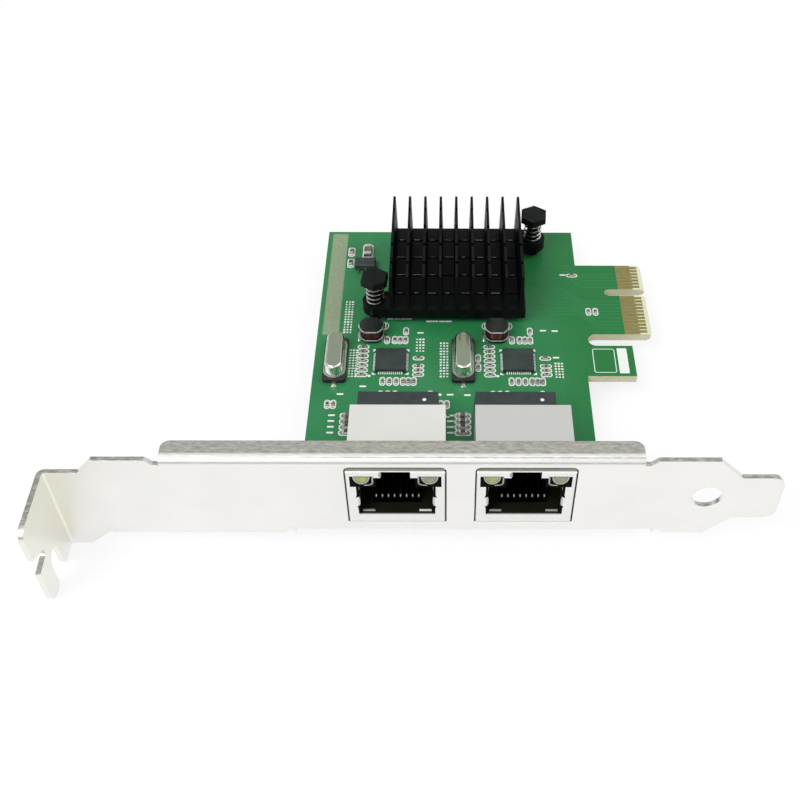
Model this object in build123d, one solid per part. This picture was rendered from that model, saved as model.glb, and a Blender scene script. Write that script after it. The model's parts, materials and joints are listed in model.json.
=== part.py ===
from build123d import *
import math
import os

os.makedirs("parts", exist_ok=True)

# Every length is in millimetres.
# While modelling, X starts at the screw tab's outer face and runs along the bracket,
# Y starts at the bracket's outer face and runs into the card,
# Z starts at the lower edge of the bracket and points away from the component side of the board.

# Bracket sheet
bracket_length = 120.02
bracket_width = 18.42
sheet_thickness = 0.86
fold_radius = 1.3

# Screw tab at the left end
tab_reach = 3.97
tab_drop = 3.07
tab_corner_radius = 2.0
tab_chamfer = 1.4
tab_notch_radius = 1.1
tab_upper_shoulder = 6.4
tab_upper_slope = 2.8
tab_lower_shoulder = 4.5
tab_lower_slope = 3.5
screw_notch_width = 3.9
screw_notch_distance = 6.5
screw_notch_height = 6.6
key_notch_height = 9.2
key_notch_depth = 3.9
key_notch_throat = 1.4
key_notch_lead = 0.3
key_notch_mouth = 3.4

# Tongue at the right end
tongue_width = 10.19
tongue_length = 7.15
tongue_corner_radius = 2.2
tongue_hole_diameter = 5.0
tongue_hole_distance = 12.1
tongue_hole_rise = 0.3

# Flanges folded back from the long edges
top_flange_reach = 4.3
top_flange_start = 19.7
top_flange_end = 96.8
top_flange_corner = 1.5
relief_depth = 1.1
relief_floor = 0.9
relief_slope = 1.2
lower_flange_reach = 4.0
lower_flange_margin = 8.0
nick_width = 1.9
nick_depth = 1.1

# Circuit board
board_thickness = 1.57
board_left = 39.72
board_front = 1.7
board_back = 79.17
finger_tab_back = 68.01
finger_tab_length = 21.2
finger_tab_reach = 13.71
finger_tab_corner = 1.0
key_position = 7.65
key_width = 1.9
key_depth = 8.3
slot_inset = 0.9
retention_tab_front = 35.14
retention_tab_width = 8.4
retention_tab_reach = 9.4
bevel_length = 0.9
bevel_depth = 0.4

# Edge contacts
contact_pitch = 1.0
contact_width = 0.7
contact_start = 5.2
contact_thickness = 0.05
contacts_after_key = 7
contacts_before_key = 11

# Screws through the board into the bracket's lugs
lug_width = 6.6
lug_reach = 9.4
lug_corner = 1.2
lug_screw_y = 6.4
left_screw_inset = 4.9
right_screw_gap = 0.695
right_screw_inset = 2.75
screw_radius = 1.25
screw_clearance = 0.05
board_screw_clearance = 0.3
screw_head_radius = 2.5
screw_head_height = 1.7
screw_length = 3.0
recess_width = 0.7
recess_span = 2.8
recess_depth = 0.9

# Jacks
jack_midline = 67.53
jack_spacing = 21.05
jack_width = 16.1
jack_headroom = 2.44
jack_depth = 14.6
jack_step_height = 0.55
jack_step_depth = 1.2
shield_thickness = 0.25
opening_side_gap = 0.17
opening_bottom_gap = 0.08
opening_top_gap = 0.85
opening_corner = 1.0
shield_opening_gap = 0.15
plug_width = 12.1
plug_floor = 2.57
plug_depth = 11.6
shoulder_width = 6.6
shoulder_height = 1.9
latch_width = 4.5
latch_height = 1.5
latch_roof = 0.38
window_width = 3.3
window_height = 2.3
window_corner = 0.9
window_side_margin = 1.15
window_top_margin = 1.35
window_recess = 0.35
light_length = 8.0
light_clearance = 0.08
housing_clearance = 0.05
wire_pitch = 1.016
wire_count = 8
wire_width = 0.45
wire_thickness = 0.3
wire_front = 2.8
wire_rise = 3.9
wire_back = 9.8
wire_back_height = 6.2
wire_run_height = 0.55
wire_slot_rise = 0.1
tail_row_front = 10.3
tail_row_back = 12.3
tail_length = 2.5
tail_hole_width = 0.7
peg_radius = 1.6
peg_spacing = 11.43
peg_distance = 7.6
peg_length = 2.2
peg_clearance = 0.06
peg_root = 0.5
shield_tail_width = 1.5
shield_tail_distance = 11.2
shield_tail_clearance = 0.15
spring_finger_start = 2.0
spring_finger_length = 3.4
spring_finger_gap = 0.3
spring_finger_width = 2.2
spring_finger_bottom = 4.2

# Two network channels, one to the right of the other
channel_pitch = 24.45
chip_x = 54.45
chip_y = 38.85
chip_size = 5.9
chip_height = 0.85
chip_standoff = 0.05
chip_pads_per_side = 7
chip_pad_pitch = 0.7
chip_pad_width = 0.3
chip_pad_length = 0.55
chip_pad_thickness = 0.1

# Pulse transformers behind the jacks
transformer_shift = -0.5
transformer_y = 21.7
transformer_length = 14.9
transformer_width = 7.1
transformer_height = 5.9
transformer_standoff = 0.15
transformer_draft = 0.25
leads_per_side = 10
lead_pitch = 1.4
lead_width = 0.45
lead_thickness = 0.2
lead_shelf = 0.6
lead_foot = 0.8
lead_height = 1.6

# Crystals
crystal_shift_x = -10.55
crystal_shift_y = 0.05
crystal_base_width = 4.4
crystal_base_length = 11.6
crystal_base_height = 0.8
crystal_base_corner = 0.4
crystal_brim_width = 4.1
crystal_brim_length = 10.8
crystal_brim_height = 0.4
crystal_can_width = 3.4
crystal_can_length = 9.6
crystal_can_top = 3.5
crystal_can_edge = 0.35
crystal_lead_width = 0.7
crystal_lead_reach = 0.9
crystal_lead_inset = 2.4
crystal_groove_gap = 0.1
crystal_lead_thickness = 0.3

# Drum inductors
inductor_shift_x = -3.95
inductor_shift_y = 7.1
inductor_diameter = 4.6
inductor_width = 4.0
inductor_height = 3.2
inductor_flange = 0.65
inductor_post_radius = 1.0
winding_radius = 1.85
winding_clearance = 0.05
inductor_terminal_width = 2.6
inductor_terminal_start = 0.85
inductor_terminal_overhang = 0.175
inductor_terminal_height = 0.25

# Heat sink
heatsink_x = 67.1
heatsink_y = 62.8
heatsink_width = 27.2
heatsink_length = 25.8
heatsink_base = 2.24
heatsink_height = 10.33
fin_count = 9
fin_edge_margin = 0.42
fin_root = 0.9
fin_tip = 0.5
cut_count = 4
cut_pitch = 5.65
cut_width = 0.9
cut_depth = 0.2
ear_reach = 2.4
ear_inset = 2.85
ear_radius = 2.6
ear_hole_radius = 1.4

# Switch chip and thermal pad under the heat sink
switch_size = 9.0
switch_height = 0.85
switch_pads_per_side = 6
switch_pad_pitch = 1.3
thermal_pad_size = 12.0
thermal_pad_thickness = 0.5

# Push pins and their springs
pin_shaft_radius = 1.2
pin_board_hole_radius = 1.5
pin_head_across_corners = 5.8
pin_head_height = 1.5
pin_head_bottom = 10.6
pin_head_edge = 0.2
pin_head_turn = 26.0
barb_radius = 1.75
barb_tip_radius = 0.8
barb_length = 2.0
barb_gap = 0.1
barb_slot = 0.6
barb_slot_length = 3.0
spring_radius = 1.65
spring_wire = 0.35
spring_turns = 4.5
spring_runs_per_turn = 10

# Chip resistors and capacitors, small and medium
small_length = 1.0
small_width = 0.5
small_height = 0.35
medium_length = 1.6
medium_width = 0.8
medium_height = 0.6
large_length = 3.2
large_width = 1.6
large_height = 1.0
cap_share = 0.24

# Places of the small chip parts round a LAN chip, measured from its centre
left_column_shift = -5.45
left_column_first = -3.56
left_column_pitch = 1.29
left_column_count = 7
front_row_shift = -5.28
front_row_first = -1.42
front_row_pitch = 1.3
front_row_count = 4
front_pair_first = 3.5
front_pair_pitch = 1.0
back_row_shift = 6.13
back_row_first = 0.55
back_row_pitch = 1.05
back_row_count = 3
back_single_shift = -0.95
right_column_shift = 5.3
right_column_first = -3.45
right_column_pitch = 1.17
right_column_count = 3
right_single_shift = 1.04
output_capacitor_shift_x = 2.7
output_capacitor_shift_y = 8.65
inductor_capacitor_shift_x = -3.75
inductor_capacitor_shift_y = 10.22

# Places of the chip parts beside the jacks, measured from a jack's middle, and of the loose ones
side_column_shift = -9.9
side_column_y = 20.45
side_column_pitch = 1.4
side_column_count = 4
side_pair_shift = -13.95
side_pair_pitch = 1.1
side_pair_y = 27.55
light_row_first = -4.2
light_row_pitch = 1.35
light_row_count = 3
light_row_y = 30.0
light_single_shift = 5.1
edge_pair_inset = -1.63
edge_pair_pitch = 1.41
edge_pair_y = 53.43
edge_single_inset = 0.9
edge_single_y = 64.71
supply_pair_x = 45.0
supply_pair_y = 68.52
supply_pair_pitch = 3.7
middle_pair_x = 71.24
middle_pair_y = 37.35
middle_pair_pitch = 2.55

# Voltage regulator and ceramic capacitor at the left of the heat sink
regulator_x = 48.2
regulator_y = 67.4
regulator_length = 4.2
regulator_width = 2.7
regulator_height = 1.5
regulator_edge = 0.2
regulator_lead_pitch = 1.5
regulator_lead_width = 0.45
regulator_lead_reach = 0.9
regulator_lead_inset = 0.6
regulator_lead_thickness = 0.3
regulator_tab_width = 1.7
regulator_tab_inset = 1.89
storage_capacitor_x = 48.45
storage_capacitor_y = 72.2

# Heights and places that follow from the sizes above
tab_depth = screw_notch_distance + screw_notch_width / 2 + tab_reach
board_bottom = sheet_thickness
board_top = board_bottom + board_thickness
finger_tab_front = finger_tab_back - finger_tab_length
key_back = finger_tab_back - key_position
key_front = key_back - key_width
jack_height = bracket_width - board_top - jack_headroom
plug_height = jack_height - plug_floor - shoulder_height - latch_height - latch_roof
window_offset = (jack_width - window_width) / 2 - window_side_margin
jack_centres = [jack_midline - jack_spacing / 2, jack_midline + jack_spacing / 2]
channel_centres = [chip_x, chip_x + channel_pitch]
jack_right = jack_centres[1] + jack_width / 2
right_screw_x = jack_right + right_screw_gap + screw_head_radius
lug_screw_places = [board_left + left_screw_inset, right_screw_x]
board_right = right_screw_x + right_screw_inset
finger_edge = board_right + finger_tab_reach
heatsink_bottom = board_top + chip_standoff + switch_height + thermal_pad_thickness
heatsink_floor = heatsink_bottom + heatsink_base
pin_offset_x = heatsink_width / 2 + ear_reach
pin_offset_y = heatsink_length / 2 - ear_inset
pin_places = [
    (heatsink_x - pin_offset_x, heatsink_y - pin_offset_y),
    (heatsink_x + pin_offset_x, heatsink_y + pin_offset_y),
]
tail_columns = [(i - (wire_count - 1) / 2) * wire_pitch for i in range(wire_count)]
window_height_centre = jack_height - window_top_margin - window_height / 2


def block(x0, x1, y0, y1, z0, z1):
    return Pos((x0 + x1) / 2, (y0 + y1) / 2, (z0 + z1) / 2) * Box(x1 - x0, y1 - y0, z1 - z0)


def peg(x, y, z0, z1, radius):
    return Pos(x, y, (z0 + z1) / 2) * Cylinder(radius, z1 - z0)


def front_view(x, y, z):
    # Plane seen from the front: its own axes run along X and Z
    return Plane((x, y, z), x_dir=(1, 0, 0), z_dir=(0, -1, 0))


def side_view(x, y, z):
    # Plane seen from the right: its own axes run along Y and Z
    return Plane((x, y, z), x_dir=(0, 1, 0), z_dir=(1, 0, 0))


def save(node, *solids):
    centred = [Pos(-jack_midline, 0, -bracket_width / 2) * solid for solid in solids]
    shape = centred[0] if len(centred) == 1 else Compound(children=centred)
    export_step(shape, f"parts/{node}.step")


def fold_section(reach):
    # Quarter bend of the sheet and the flat beyond it: a runs along the flat, b points out of the fold
    inner_radius = fold_radius - sheet_thickness
    outline = CenterArc((fold_radius, 0), fold_radius, 90, 90)
    outline += Line((fold_radius, fold_radius), (reach, fold_radius))
    outline += Line((reach, fold_radius), (reach, fold_radius - sheet_thickness))
    outline += Line((reach, fold_radius - sheet_thickness), (fold_radius, fold_radius - sheet_thickness))
    outline += CenterArc((fold_radius, 0), inner_radius, 90, 90)
    outline += Line((sheet_thickness, 0), (0, 0))
    return make_face(outline)


def bracket_face():
    middle = bracket_width / 2
    tab_top = bracket_width - tab_drop
    tongue_start = bracket_length - tongue_length
    tongue_low = middle - tongue_width / 2
    tongue_high = middle + tongue_width / 2
    tongue_slope = (bracket_width - tongue_width) / 2
    lower_slope_end = tab_lower_shoulder + tab_lower_slope
    upper_slope_end = tab_upper_shoulder + tab_upper_slope
    outline = Polyline(
        (fold_radius, -tab_drop),
        (tab_lower_shoulder, -tab_drop),
        (lower_slope_end, 0),
        (tongue_start - tongue_slope, 0),
        (tongue_start, tongue_low),
        (bracket_length, tongue_low),
        (bracket_length, tongue_high),
        (tongue_start, tongue_high),
        (tongue_start - tongue_slope, bracket_width),
        (upper_slope_end, bracket_width),
        (tab_upper_shoulder, tab_top),
        (fold_radius, tab_top),
        close=True,
    )
    face = make_face(outline)
    return fillet(face.vertices().sort_by(Axis.X)[-2:], tongue_corner_radius)


def top_relief(flange_edge, outward):
    # Trapezoid cut beside the flange, so that only the flange's own width is folded
    floor_end = flange_edge + outward * relief_floor
    slope_end = floor_end + outward * relief_slope
    return make_face(Polyline(
        (flange_edge, bracket_width + 1),
        (flange_edge, bracket_width - relief_depth),
        (floor_end, bracket_width - relief_depth),
        (slope_end, bracket_width),
        (slope_end, bracket_width + 1),
        close=True,
    ))


def lower_nick(flange_edge, outward):
    return make_face(Polyline(
        (flange_edge, -1),
        (flange_edge, 0),
        (flange_edge + outward * nick_width / 2, nick_depth),
        (flange_edge + outward * nick_width, 0),
        (flange_edge + outward * nick_width, -1),
        close=True,
    ))


def tab_notches():
    screw_notch = SlotCenterToCenter(2 * screw_notch_height, screw_notch_width)
    notch_centre = -tab_drop + screw_notch_height - screw_notch_width / 2 - screw_notch_height
    screw_notch = Pos(-screw_notch_distance, notch_centre) * Rot(0, 0, 90) * screw_notch
    key_low = key_notch_height - tab_drop - key_notch_throat / 2
    throat = key_low + key_notch_throat
    throat_end = -tab_depth + key_notch_depth
    key_notch = make_face(Polyline(
        (-tab_depth - 1, key_low - key_notch_lead),
        (-tab_depth, key_low - key_notch_lead),
        (throat_end, key_low),
        (throat_end, throat),
        (-tab_depth, key_low + key_notch_mouth),
        (-tab_depth - 1, key_low + key_notch_mouth),
        close=True,
    ))
    inner_end = key_notch.vertices().sort_by(Axis.X)[-2:]
    key_notch = fillet(inner_end, 0.45 * key_notch_throat)
    return screw_notch, key_notch


def make_bracket():
    lower_start = board_left
    lower_end = board_right + lower_flange_margin
    sheet = bracket_face()
    sheet -= top_relief(top_flange_start, -1)
    sheet -= top_relief(top_flange_end, 1)
    sheet -= lower_nick(lower_start, -1)
    sheet -= lower_nick(lower_end, 1)
    opening_width = jack_width + 2 * opening_side_gap
    opening_low = board_top + jack_step_height - opening_bottom_gap
    opening_height = board_top + jack_height + opening_top_gap - opening_low
    opening_centre = opening_low + opening_height / 2
    for centre in jack_centres:
        opening = Rectangle(opening_width, opening_height)
        opening = fillet(opening.vertices().sort_by(Axis.Y)[-2:], opening_corner)
        sheet -= Pos(centre, opening_centre) * opening
    hole_place = (bracket_length - tongue_hole_distance, bracket_width / 2 + tongue_hole_rise)
    sheet -= Pos(*hole_place) * Circle(tongue_hole_diameter / 2)
    plate = extrude(front_view(0, 0, 0) * sheet, amount=-sheet_thickness)
    plate -= block(top_flange_start, top_flange_end, -1, 2, bracket_width - fold_radius, bracket_width + 1)
    plate -= block(lower_start, lower_end, -1, 2, -1, fold_radius)

    top_plane = side_view(top_flange_start, 0, bracket_width - fold_radius)
    top_flange = extrude(top_plane * fold_section(top_flange_reach), amount=top_flange_end - top_flange_start)
    rear_corners = top_flange.edges().filter_by(Axis.Z).sort_by(Axis.Y)[-2:]
    top_flange = fillet(rear_corners, top_flange_corner)

    lower_plane = Plane((lower_end, 0, fold_radius), x_dir=(0, 1, 0), z_dir=(-1, 0, 0))
    lower_flange = extrude(lower_plane * fold_section(lower_flange_reach), amount=lower_end - lower_start)

    tab_top = bracket_width - tab_drop
    tab_plane = Plane((fold_radius, sheet_thickness, tab_top), x_dir=(0, -1, 0), z_dir=(0, 0, -1))
    tab = extrude(tab_plane * fold_section(tab_depth + sheet_thickness), amount=bracket_width)
    outer_corners = tab.edges().filter_by(Axis.X).sort_by(Axis.Y)[:2].sort_by(Axis.Z)
    tab = fillet(outer_corners[-1], tab_corner_radius)
    outer_corners = tab.edges().filter_by(Axis.X).group_by(Axis.Z)[0].sort_by(Axis.Y)
    tab = chamfer(outer_corners[0], tab_chamfer)
    screw_notch, key_notch = tab_notches()
    tab -= extrude(side_view(-1, 0, 0) * screw_notch, amount=fold_radius + 1)
    tab -= extrude(side_view(-1, 0, 0) * key_notch, amount=fold_radius + 1)
    notch_corners = tab.edges().filter_by(Axis.X).group_by(Axis.Z)[0].sort_by(Axis.Y)[-2:]
    tab = fillet(notch_corners, tab_notch_radius)

    shape = plate + top_flange + lower_flange + tab
    for place in lug_screw_places:
        lug = block(place - lug_width / 2, place + lug_width / 2, fold_radius, lug_reach, 0, sheet_thickness)
        lug = chamfer(lug.edges().filter_by(Axis.Z).sort_by(Axis.Y)[-2:], lug_corner)
        shape += lug
    for place in lug_screw_places:
        shape -= peg(place, lug_screw_y, -1, sheet_thickness + 1, screw_radius + screw_clearance)
    return shape


def board_outline():
    slot_end = board_right + slot_inset
    retention_back = retention_tab_front + retention_tab_width
    retention_edge = board_right + retention_tab_reach
    outline = Polyline(
        (board_left, board_front),
        (board_right, board_front),
        (board_right, retention_tab_front),
        (retention_edge, retention_tab_front),
        (retention_edge, retention_back),
        (slot_end, retention_back),
        (slot_end, finger_tab_front),
        (finger_edge, finger_tab_front),
        (finger_edge, key_front),
        (finger_edge, key_back),
        (finger_edge, finger_tab_back),
        (board_right, finger_tab_back),
        (board_right, board_back),
        (board_left, board_back),
        close=True,
    )
    face = make_face(outline)
    corners = face.vertices()
    slot_corners = [v for v in corners if abs(v.X - slot_end) < 0.01]
    slot_radius = 0.49 * (finger_tab_front - retention_back)
    face = fillet(slot_corners, slot_radius)
    corners = face.vertices()
    finger_corners = corners.group_by(Axis.X)[-1].sort_by(Axis.Y)
    face = fillet([finger_corners[0], finger_corners[-1]], finger_tab_corner)
    return face


def key_cut():
    inner = finger_edge - key_depth
    radius = key_width / 2
    cut = block(inner + radius, finger_edge + 1, key_front, key_back, board_bottom - 1, board_top + 1)
    return cut + peg(inner + radius, (key_front + key_back) / 2, board_bottom - 1, board_top + 1, radius)


def bevel_cut(face_height, outward):
    # Wedge along the outer edge of the finger tab, on one face of the board
    wedge = make_face(Polyline(
        (finger_edge - bevel_length, face_height),
        (finger_edge - bevel_length, face_height + outward),
        (finger_edge + 1, face_height + outward),
        (finger_edge + 1, face_height - outward * bevel_depth * (1 + 1 / bevel_length)),
        close=True,
    ))
    start = finger_tab_front - 1
    return extrude(front_view(0, start, 0) * wedge, amount=-(finger_tab_length + 2))


def tail_places(centre):
    places = []
    for index, column in enumerate(tail_columns):
        row = tail_row_front if index % 2 == 0 else tail_row_back
        places.append((centre + column, row))
    return places


def make_board():
    board = Pos(0, 0, board_bottom) * extrude(board_outline(), amount=board_thickness)
    board -= key_cut()
    board -= bevel_cut(board_top, 1)
    board -= bevel_cut(board_bottom, -1)
    below = board_bottom - 1
    above = board_top + 1
    for place in lug_screw_places:
        board -= peg(place, lug_screw_y, below, above, screw_radius + board_screw_clearance)
    for x, y in pin_places:
        board -= peg(x, y, below, above, pin_board_hole_radius)
    for centre in jack_centres:
        for side in (-1, 1):
            peg_x = centre + side * peg_spacing / 2
            board -= peg(peg_x, peg_distance, below, above, peg_radius + peg_clearance)
            tail_x = centre + side * (jack_width - shield_thickness) / 2
            half_width = shield_tail_width / 2 + shield_tail_clearance
            half_gap = shield_thickness / 2 + shield_tail_clearance
            board -= block(
                tail_x - half_gap,
                tail_x + half_gap,
                shield_tail_distance - half_width,
                shield_tail_distance + half_width,
                below,
                above,
            )
        for x, y in tail_places(centre):
            half = tail_hole_width / 2
            board -= block(x - half, x + half, y - half, y + half, below, above)
    return board


def make_edge_contacts():
    pads = []
    first_back = key_back + key_position - (key_position - (contacts_after_key - 1) * contact_pitch) / 2
    front_length = finger_tab_length - key_position - key_width
    first_front = key_front - (front_length - (contacts_before_key - 1) * contact_pitch) / 2
    places = [first_back - i * contact_pitch for i in range(contacts_after_key)]
    places += [first_front - i * contact_pitch for i in range(contacts_before_key)]
    start = finger_edge - contact_start
    end = finger_edge - bevel_length
    for y in places:
        low = y - contact_width / 2
        high = y + contact_width / 2
        pads.append(block(start, end, low, high, board_top, board_top + contact_thickness))
        pads.append(block(start, end, low, high, board_bottom - contact_thickness, board_bottom))
    return pads


def make_screw(x):
    head = peg(x, lug_screw_y, board_top, board_top + screw_head_height, screw_head_radius)
    top = board_top + screw_head_height
    for span_x, span_y in ((recess_span, recess_width), (recess_width, recess_span)):
        head -= Pos(x, lug_screw_y, top) * Box(span_x, span_y, 2 * recess_depth)
    shank = peg(x, lug_screw_y, board_top - screw_length, board_top, screw_radius)
    return head + shank


def fin_section():
    # One fin seen along its length, slightly thinner at the tip
    half_root = fin_root / 2
    half_tip = fin_tip / 2
    fin_height = heatsink_height - heatsink_base
    return make_face(Polyline(
        (-half_root, 0),
        (half_root, 0),
        (half_tip, fin_height),
        (-half_tip, fin_height),
        close=True,
    ))


def make_heatsink():
    front = heatsink_y - heatsink_length / 2
    left = heatsink_x - heatsink_width / 2
    base = block(
        left,
        left + heatsink_width,
        front,
        front + heatsink_length,
        heatsink_bottom,
        heatsink_floor,
    )
    for x, y in pin_places:
        side = 1 if x > heatsink_x else -1
        root = heatsink_x + side * (heatsink_width / 2 - ear_radius)
        base += block(min(root, x), max(root, x), y - ear_radius, y + ear_radius, heatsink_bottom, heatsink_floor)
        base += peg(x, y, heatsink_bottom, heatsink_floor, ear_radius)
    first_fin = fin_edge_margin + fin_root / 2
    fin_pitch = (heatsink_width - 2 * first_fin) / (fin_count - 1)
    section = fin_section()
    fins = []
    for index in range(fin_count):
        x = left + first_fin + index * fin_pitch
        face = front_view(x, front, heatsink_floor) * section
        fins.append(extrude(face, amount=-heatsink_length))
    body = base + fins
    for index in range(cut_count):
        y = heatsink_y + (index - (cut_count - 1) / 2) * cut_pitch
        body -= block(
            left - 1,
            left + heatsink_width + 1,
            y - cut_width / 2,
            y + cut_width / 2,
            heatsink_floor - cut_depth,
            heatsink_bottom + heatsink_height + 1,
        )
    for x, y in pin_places:
        body -= peg(x, y, heatsink_bottom - 1, heatsink_bottom + heatsink_height + 1, ear_hole_radius)
    return body


def make_push_pin(x, y):
    head = extrude(RegularPolygon(pin_head_across_corners / 2, 6), amount=pin_head_height)
    head = chamfer(head.faces().sort_by(Axis.Z)[-1].edges(), pin_head_edge)
    head = Pos(x, y, pin_head_bottom) * Rot(0, 0, pin_head_turn) * head
    barb_top = board_bottom - barb_gap
    shaft = peg(x, y, barb_top, pin_head_bottom, pin_shaft_radius)
    barb = Pos(x, y, barb_top - barb_length / 2) * Rot(180, 0, 0) * Cone(barb_radius, barb_tip_radius, barb_length)
    pin = head + shaft + barb
    slot_top = barb_top - barb_length + barb_slot_length
    pin -= block(x - barb_slot / 2, x + barb_slot / 2, y - 3, y + 3, barb_top - barb_length - 1, slot_top)
    return pin


def make_spring(x, y):
    # Coil of short straight runs, with the round wire as a hexagon
    start = heatsink_floor + spring_wire / 2
    height = pin_head_bottom - spring_wire / 2 - start
    count = round(spring_turns * spring_runs_per_turn)
    points = []
    for index in range(count + 1):
        angle = 2 * math.pi * index / spring_runs_per_turn
        across = spring_radius * math.cos(angle)
        along = spring_radius * math.sin(angle)
        points.append((across, along, height * index / count))
    path = Polyline(*points)
    section = Plane(path @ 0, z_dir=path % 0) * RegularPolygon(spring_wire / 2, 6)
    return Pos(x, y, start) * sweep(section, path=path, transition=Transition.RIGHT)


def square_chip(x, y, size, height):
    low = board_top + chip_standoff
    return block(x - size / 2, x + size / 2, y - size / 2, y + size / 2, low, low + height)


def square_chip_pads(x, y, size, count, pitch):
    pads = []
    reach = size / 2
    inner = reach - chip_pad_length + chip_pad_thickness
    low = board_top
    high = board_top + chip_standoff
    for index in range(count):
        along = (index - (count - 1) / 2) * pitch
        for side in (-1, 1):
            near = side * inner
            far = side * (reach + chip_pad_thickness)
            x0 = min(near, far)
            x1 = max(near, far)
            half = chip_pad_width / 2
            pads.append(block(x + x0, x + x1, y + along - half, y + along + half, low, high))
            pads.append(block(x + along - half, x + along + half, y + x0, y + x1, low, high))
    return pads


def make_transformer(centre):
    x = centre + transformer_shift
    low = board_top + transformer_standoff
    waist = low + lead_height
    lower = Rectangle(transformer_length, transformer_width)
    taper_up = math.degrees(math.atan(transformer_draft / (transformer_height - lead_height)))
    upper = extrude(lower, amount=transformer_height - lead_height, taper=taper_up)
    below = extrude(lower, amount=-lead_height, taper=taper_up)
    return Pos(x, transformer_y, waist) * (upper + below)


def lead_section():
    # Gull-wing lead seen from its end: shelf, leg and foot
    t = lead_thickness
    drop = transformer_standoff + lead_height
    return make_face(Polyline(
        (0, drop + t / 2),
        (lead_shelf + t, drop + t / 2),
        (lead_shelf + t, t),
        (lead_shelf + lead_foot, t),
        (lead_shelf + lead_foot, 0),
        (lead_shelf, 0),
        (lead_shelf, drop - t / 2),
        (0, drop - t / 2),
        close=True,
    ))


def make_transformer_leads(centre):
    x = centre + transformer_shift
    leads = []
    for index in range(leads_per_side):
        along = x + (index - (leads_per_side - 1) / 2) * lead_pitch
        for side in (-1, 1):
            wall = transformer_y + side * transformer_width / 2
            plane = Plane((along, wall, board_top), x_dir=(0, side, 0), z_dir=(side, 0, 0))
            leads.append(extrude(plane * lead_section(), amount=lead_width / 2, both=True))
    return leads


def make_crystal_base(x, y):
    low = board_top + chip_standoff
    base = block(
        x - crystal_base_width / 2,
        x + crystal_base_width / 2,
        y - crystal_base_length / 2,
        y + crystal_base_length / 2,
        low,
        low + crystal_base_height,
    )
    base = chamfer(base.edges().filter_by(Axis.Z), crystal_base_corner)
    groove_reach = crystal_lead_inset + crystal_groove_gap
    for side in (-1, 1):
        end = y + side * crystal_base_length / 2
        groove = block(
            x - crystal_lead_width / 2,
            x + crystal_lead_width / 2,
            end - groove_reach,
            end + groove_reach,
            low - 1,
            board_top + crystal_lead_thickness,
        )
        base -= groove
    return base


def make_crystal_can(x, y):
    low = board_top + chip_standoff + crystal_base_height
    brim = SlotOverall(crystal_brim_length, crystal_brim_width)
    can = SlotOverall(crystal_can_length, crystal_can_width)
    height = board_top + crystal_can_top - low
    shell = extrude(can, amount=height)
    shell = chamfer(shell.faces().sort_by(Axis.Z)[-1].edges(), crystal_can_edge)
    shape = shell + extrude(brim, amount=crystal_brim_height)
    return Pos(x, y, low) * Rot(0, 0, 90) * shape


def make_crystal_leads(x, y):
    leads = []
    for side in (-1, 1):
        end = y + side * crystal_base_length / 2
        near = end - side * crystal_lead_inset
        far = end + side * crystal_lead_reach
        leads.append(block(
            x - crystal_lead_width / 2,
            x + crystal_lead_width / 2,
            min(near, far),
            max(near, far),
            board_top,
            board_top + crystal_lead_thickness,
        ))
    return leads


def inductor_post(x, y, z0, z1, radius):
    return Pos(x, y, z0) * extrude(RegularPolygon(radius, 8), amount=z1 - z0)


def make_inductor_core(x, y):
    low = board_top + inductor_terminal_height
    high = board_top + inductor_height
    half = inductor_diameter / 2
    flanges = peg(x, y, low, low + inductor_flange, half) + peg(x, y, high - inductor_flange, high, half)
    flanges &= block(x - half, x + half, y - inductor_width / 2, y + inductor_width / 2, low, high)
    return flanges + inductor_post(x, y, low, high, inductor_post_radius)


def make_inductor_winding(x, y):
    low = board_top + inductor_terminal_height + inductor_flange + winding_clearance
    high = board_top + inductor_height - inductor_flange - winding_clearance
    ring = peg(x, y, low, high, winding_radius)
    return ring - inductor_post(x, y, low - 1, high + 1, inductor_post_radius + winding_clearance)


def make_inductor_terminals(x, y):
    pads = []
    for side in (-1, 1):
        near = x + side * inductor_terminal_start
        far = x + side * (inductor_diameter / 2 + inductor_terminal_overhang)
        half = inductor_terminal_width / 2
        pads.append(block(
            min(near, far),
            max(near, far),
            y - half,
            y + half,
            board_top,
            board_top + inductor_terminal_height,
        ))
    return pads


def plug_profile(clearance):
    # Opening for the plug, seen from the front, with its stepped latch notch above
    low = plug_floor
    steps = [
        (plug_width / 2, low, low + plug_height),
        (shoulder_width / 2, low, low + plug_height + shoulder_height),
        (latch_width / 2, low, low + plug_height + shoulder_height + latch_height),
    ]
    profile = None
    for half, bottom, top in steps:
        half += clearance
        step = Pos(0, (bottom + top) / 2) * Rectangle(2 * half, top - bottom + 2 * clearance)
        profile = step if profile is None else profile + step
    return profile


def window_profile():
    window = Rectangle(window_width, window_height)
    return chamfer(window.vertices().sort_by(Axis.Y)[:2], window_corner)


def window_places(centre):
    return [(centre - window_offset, -1), (centre + window_offset, 1)]


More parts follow.
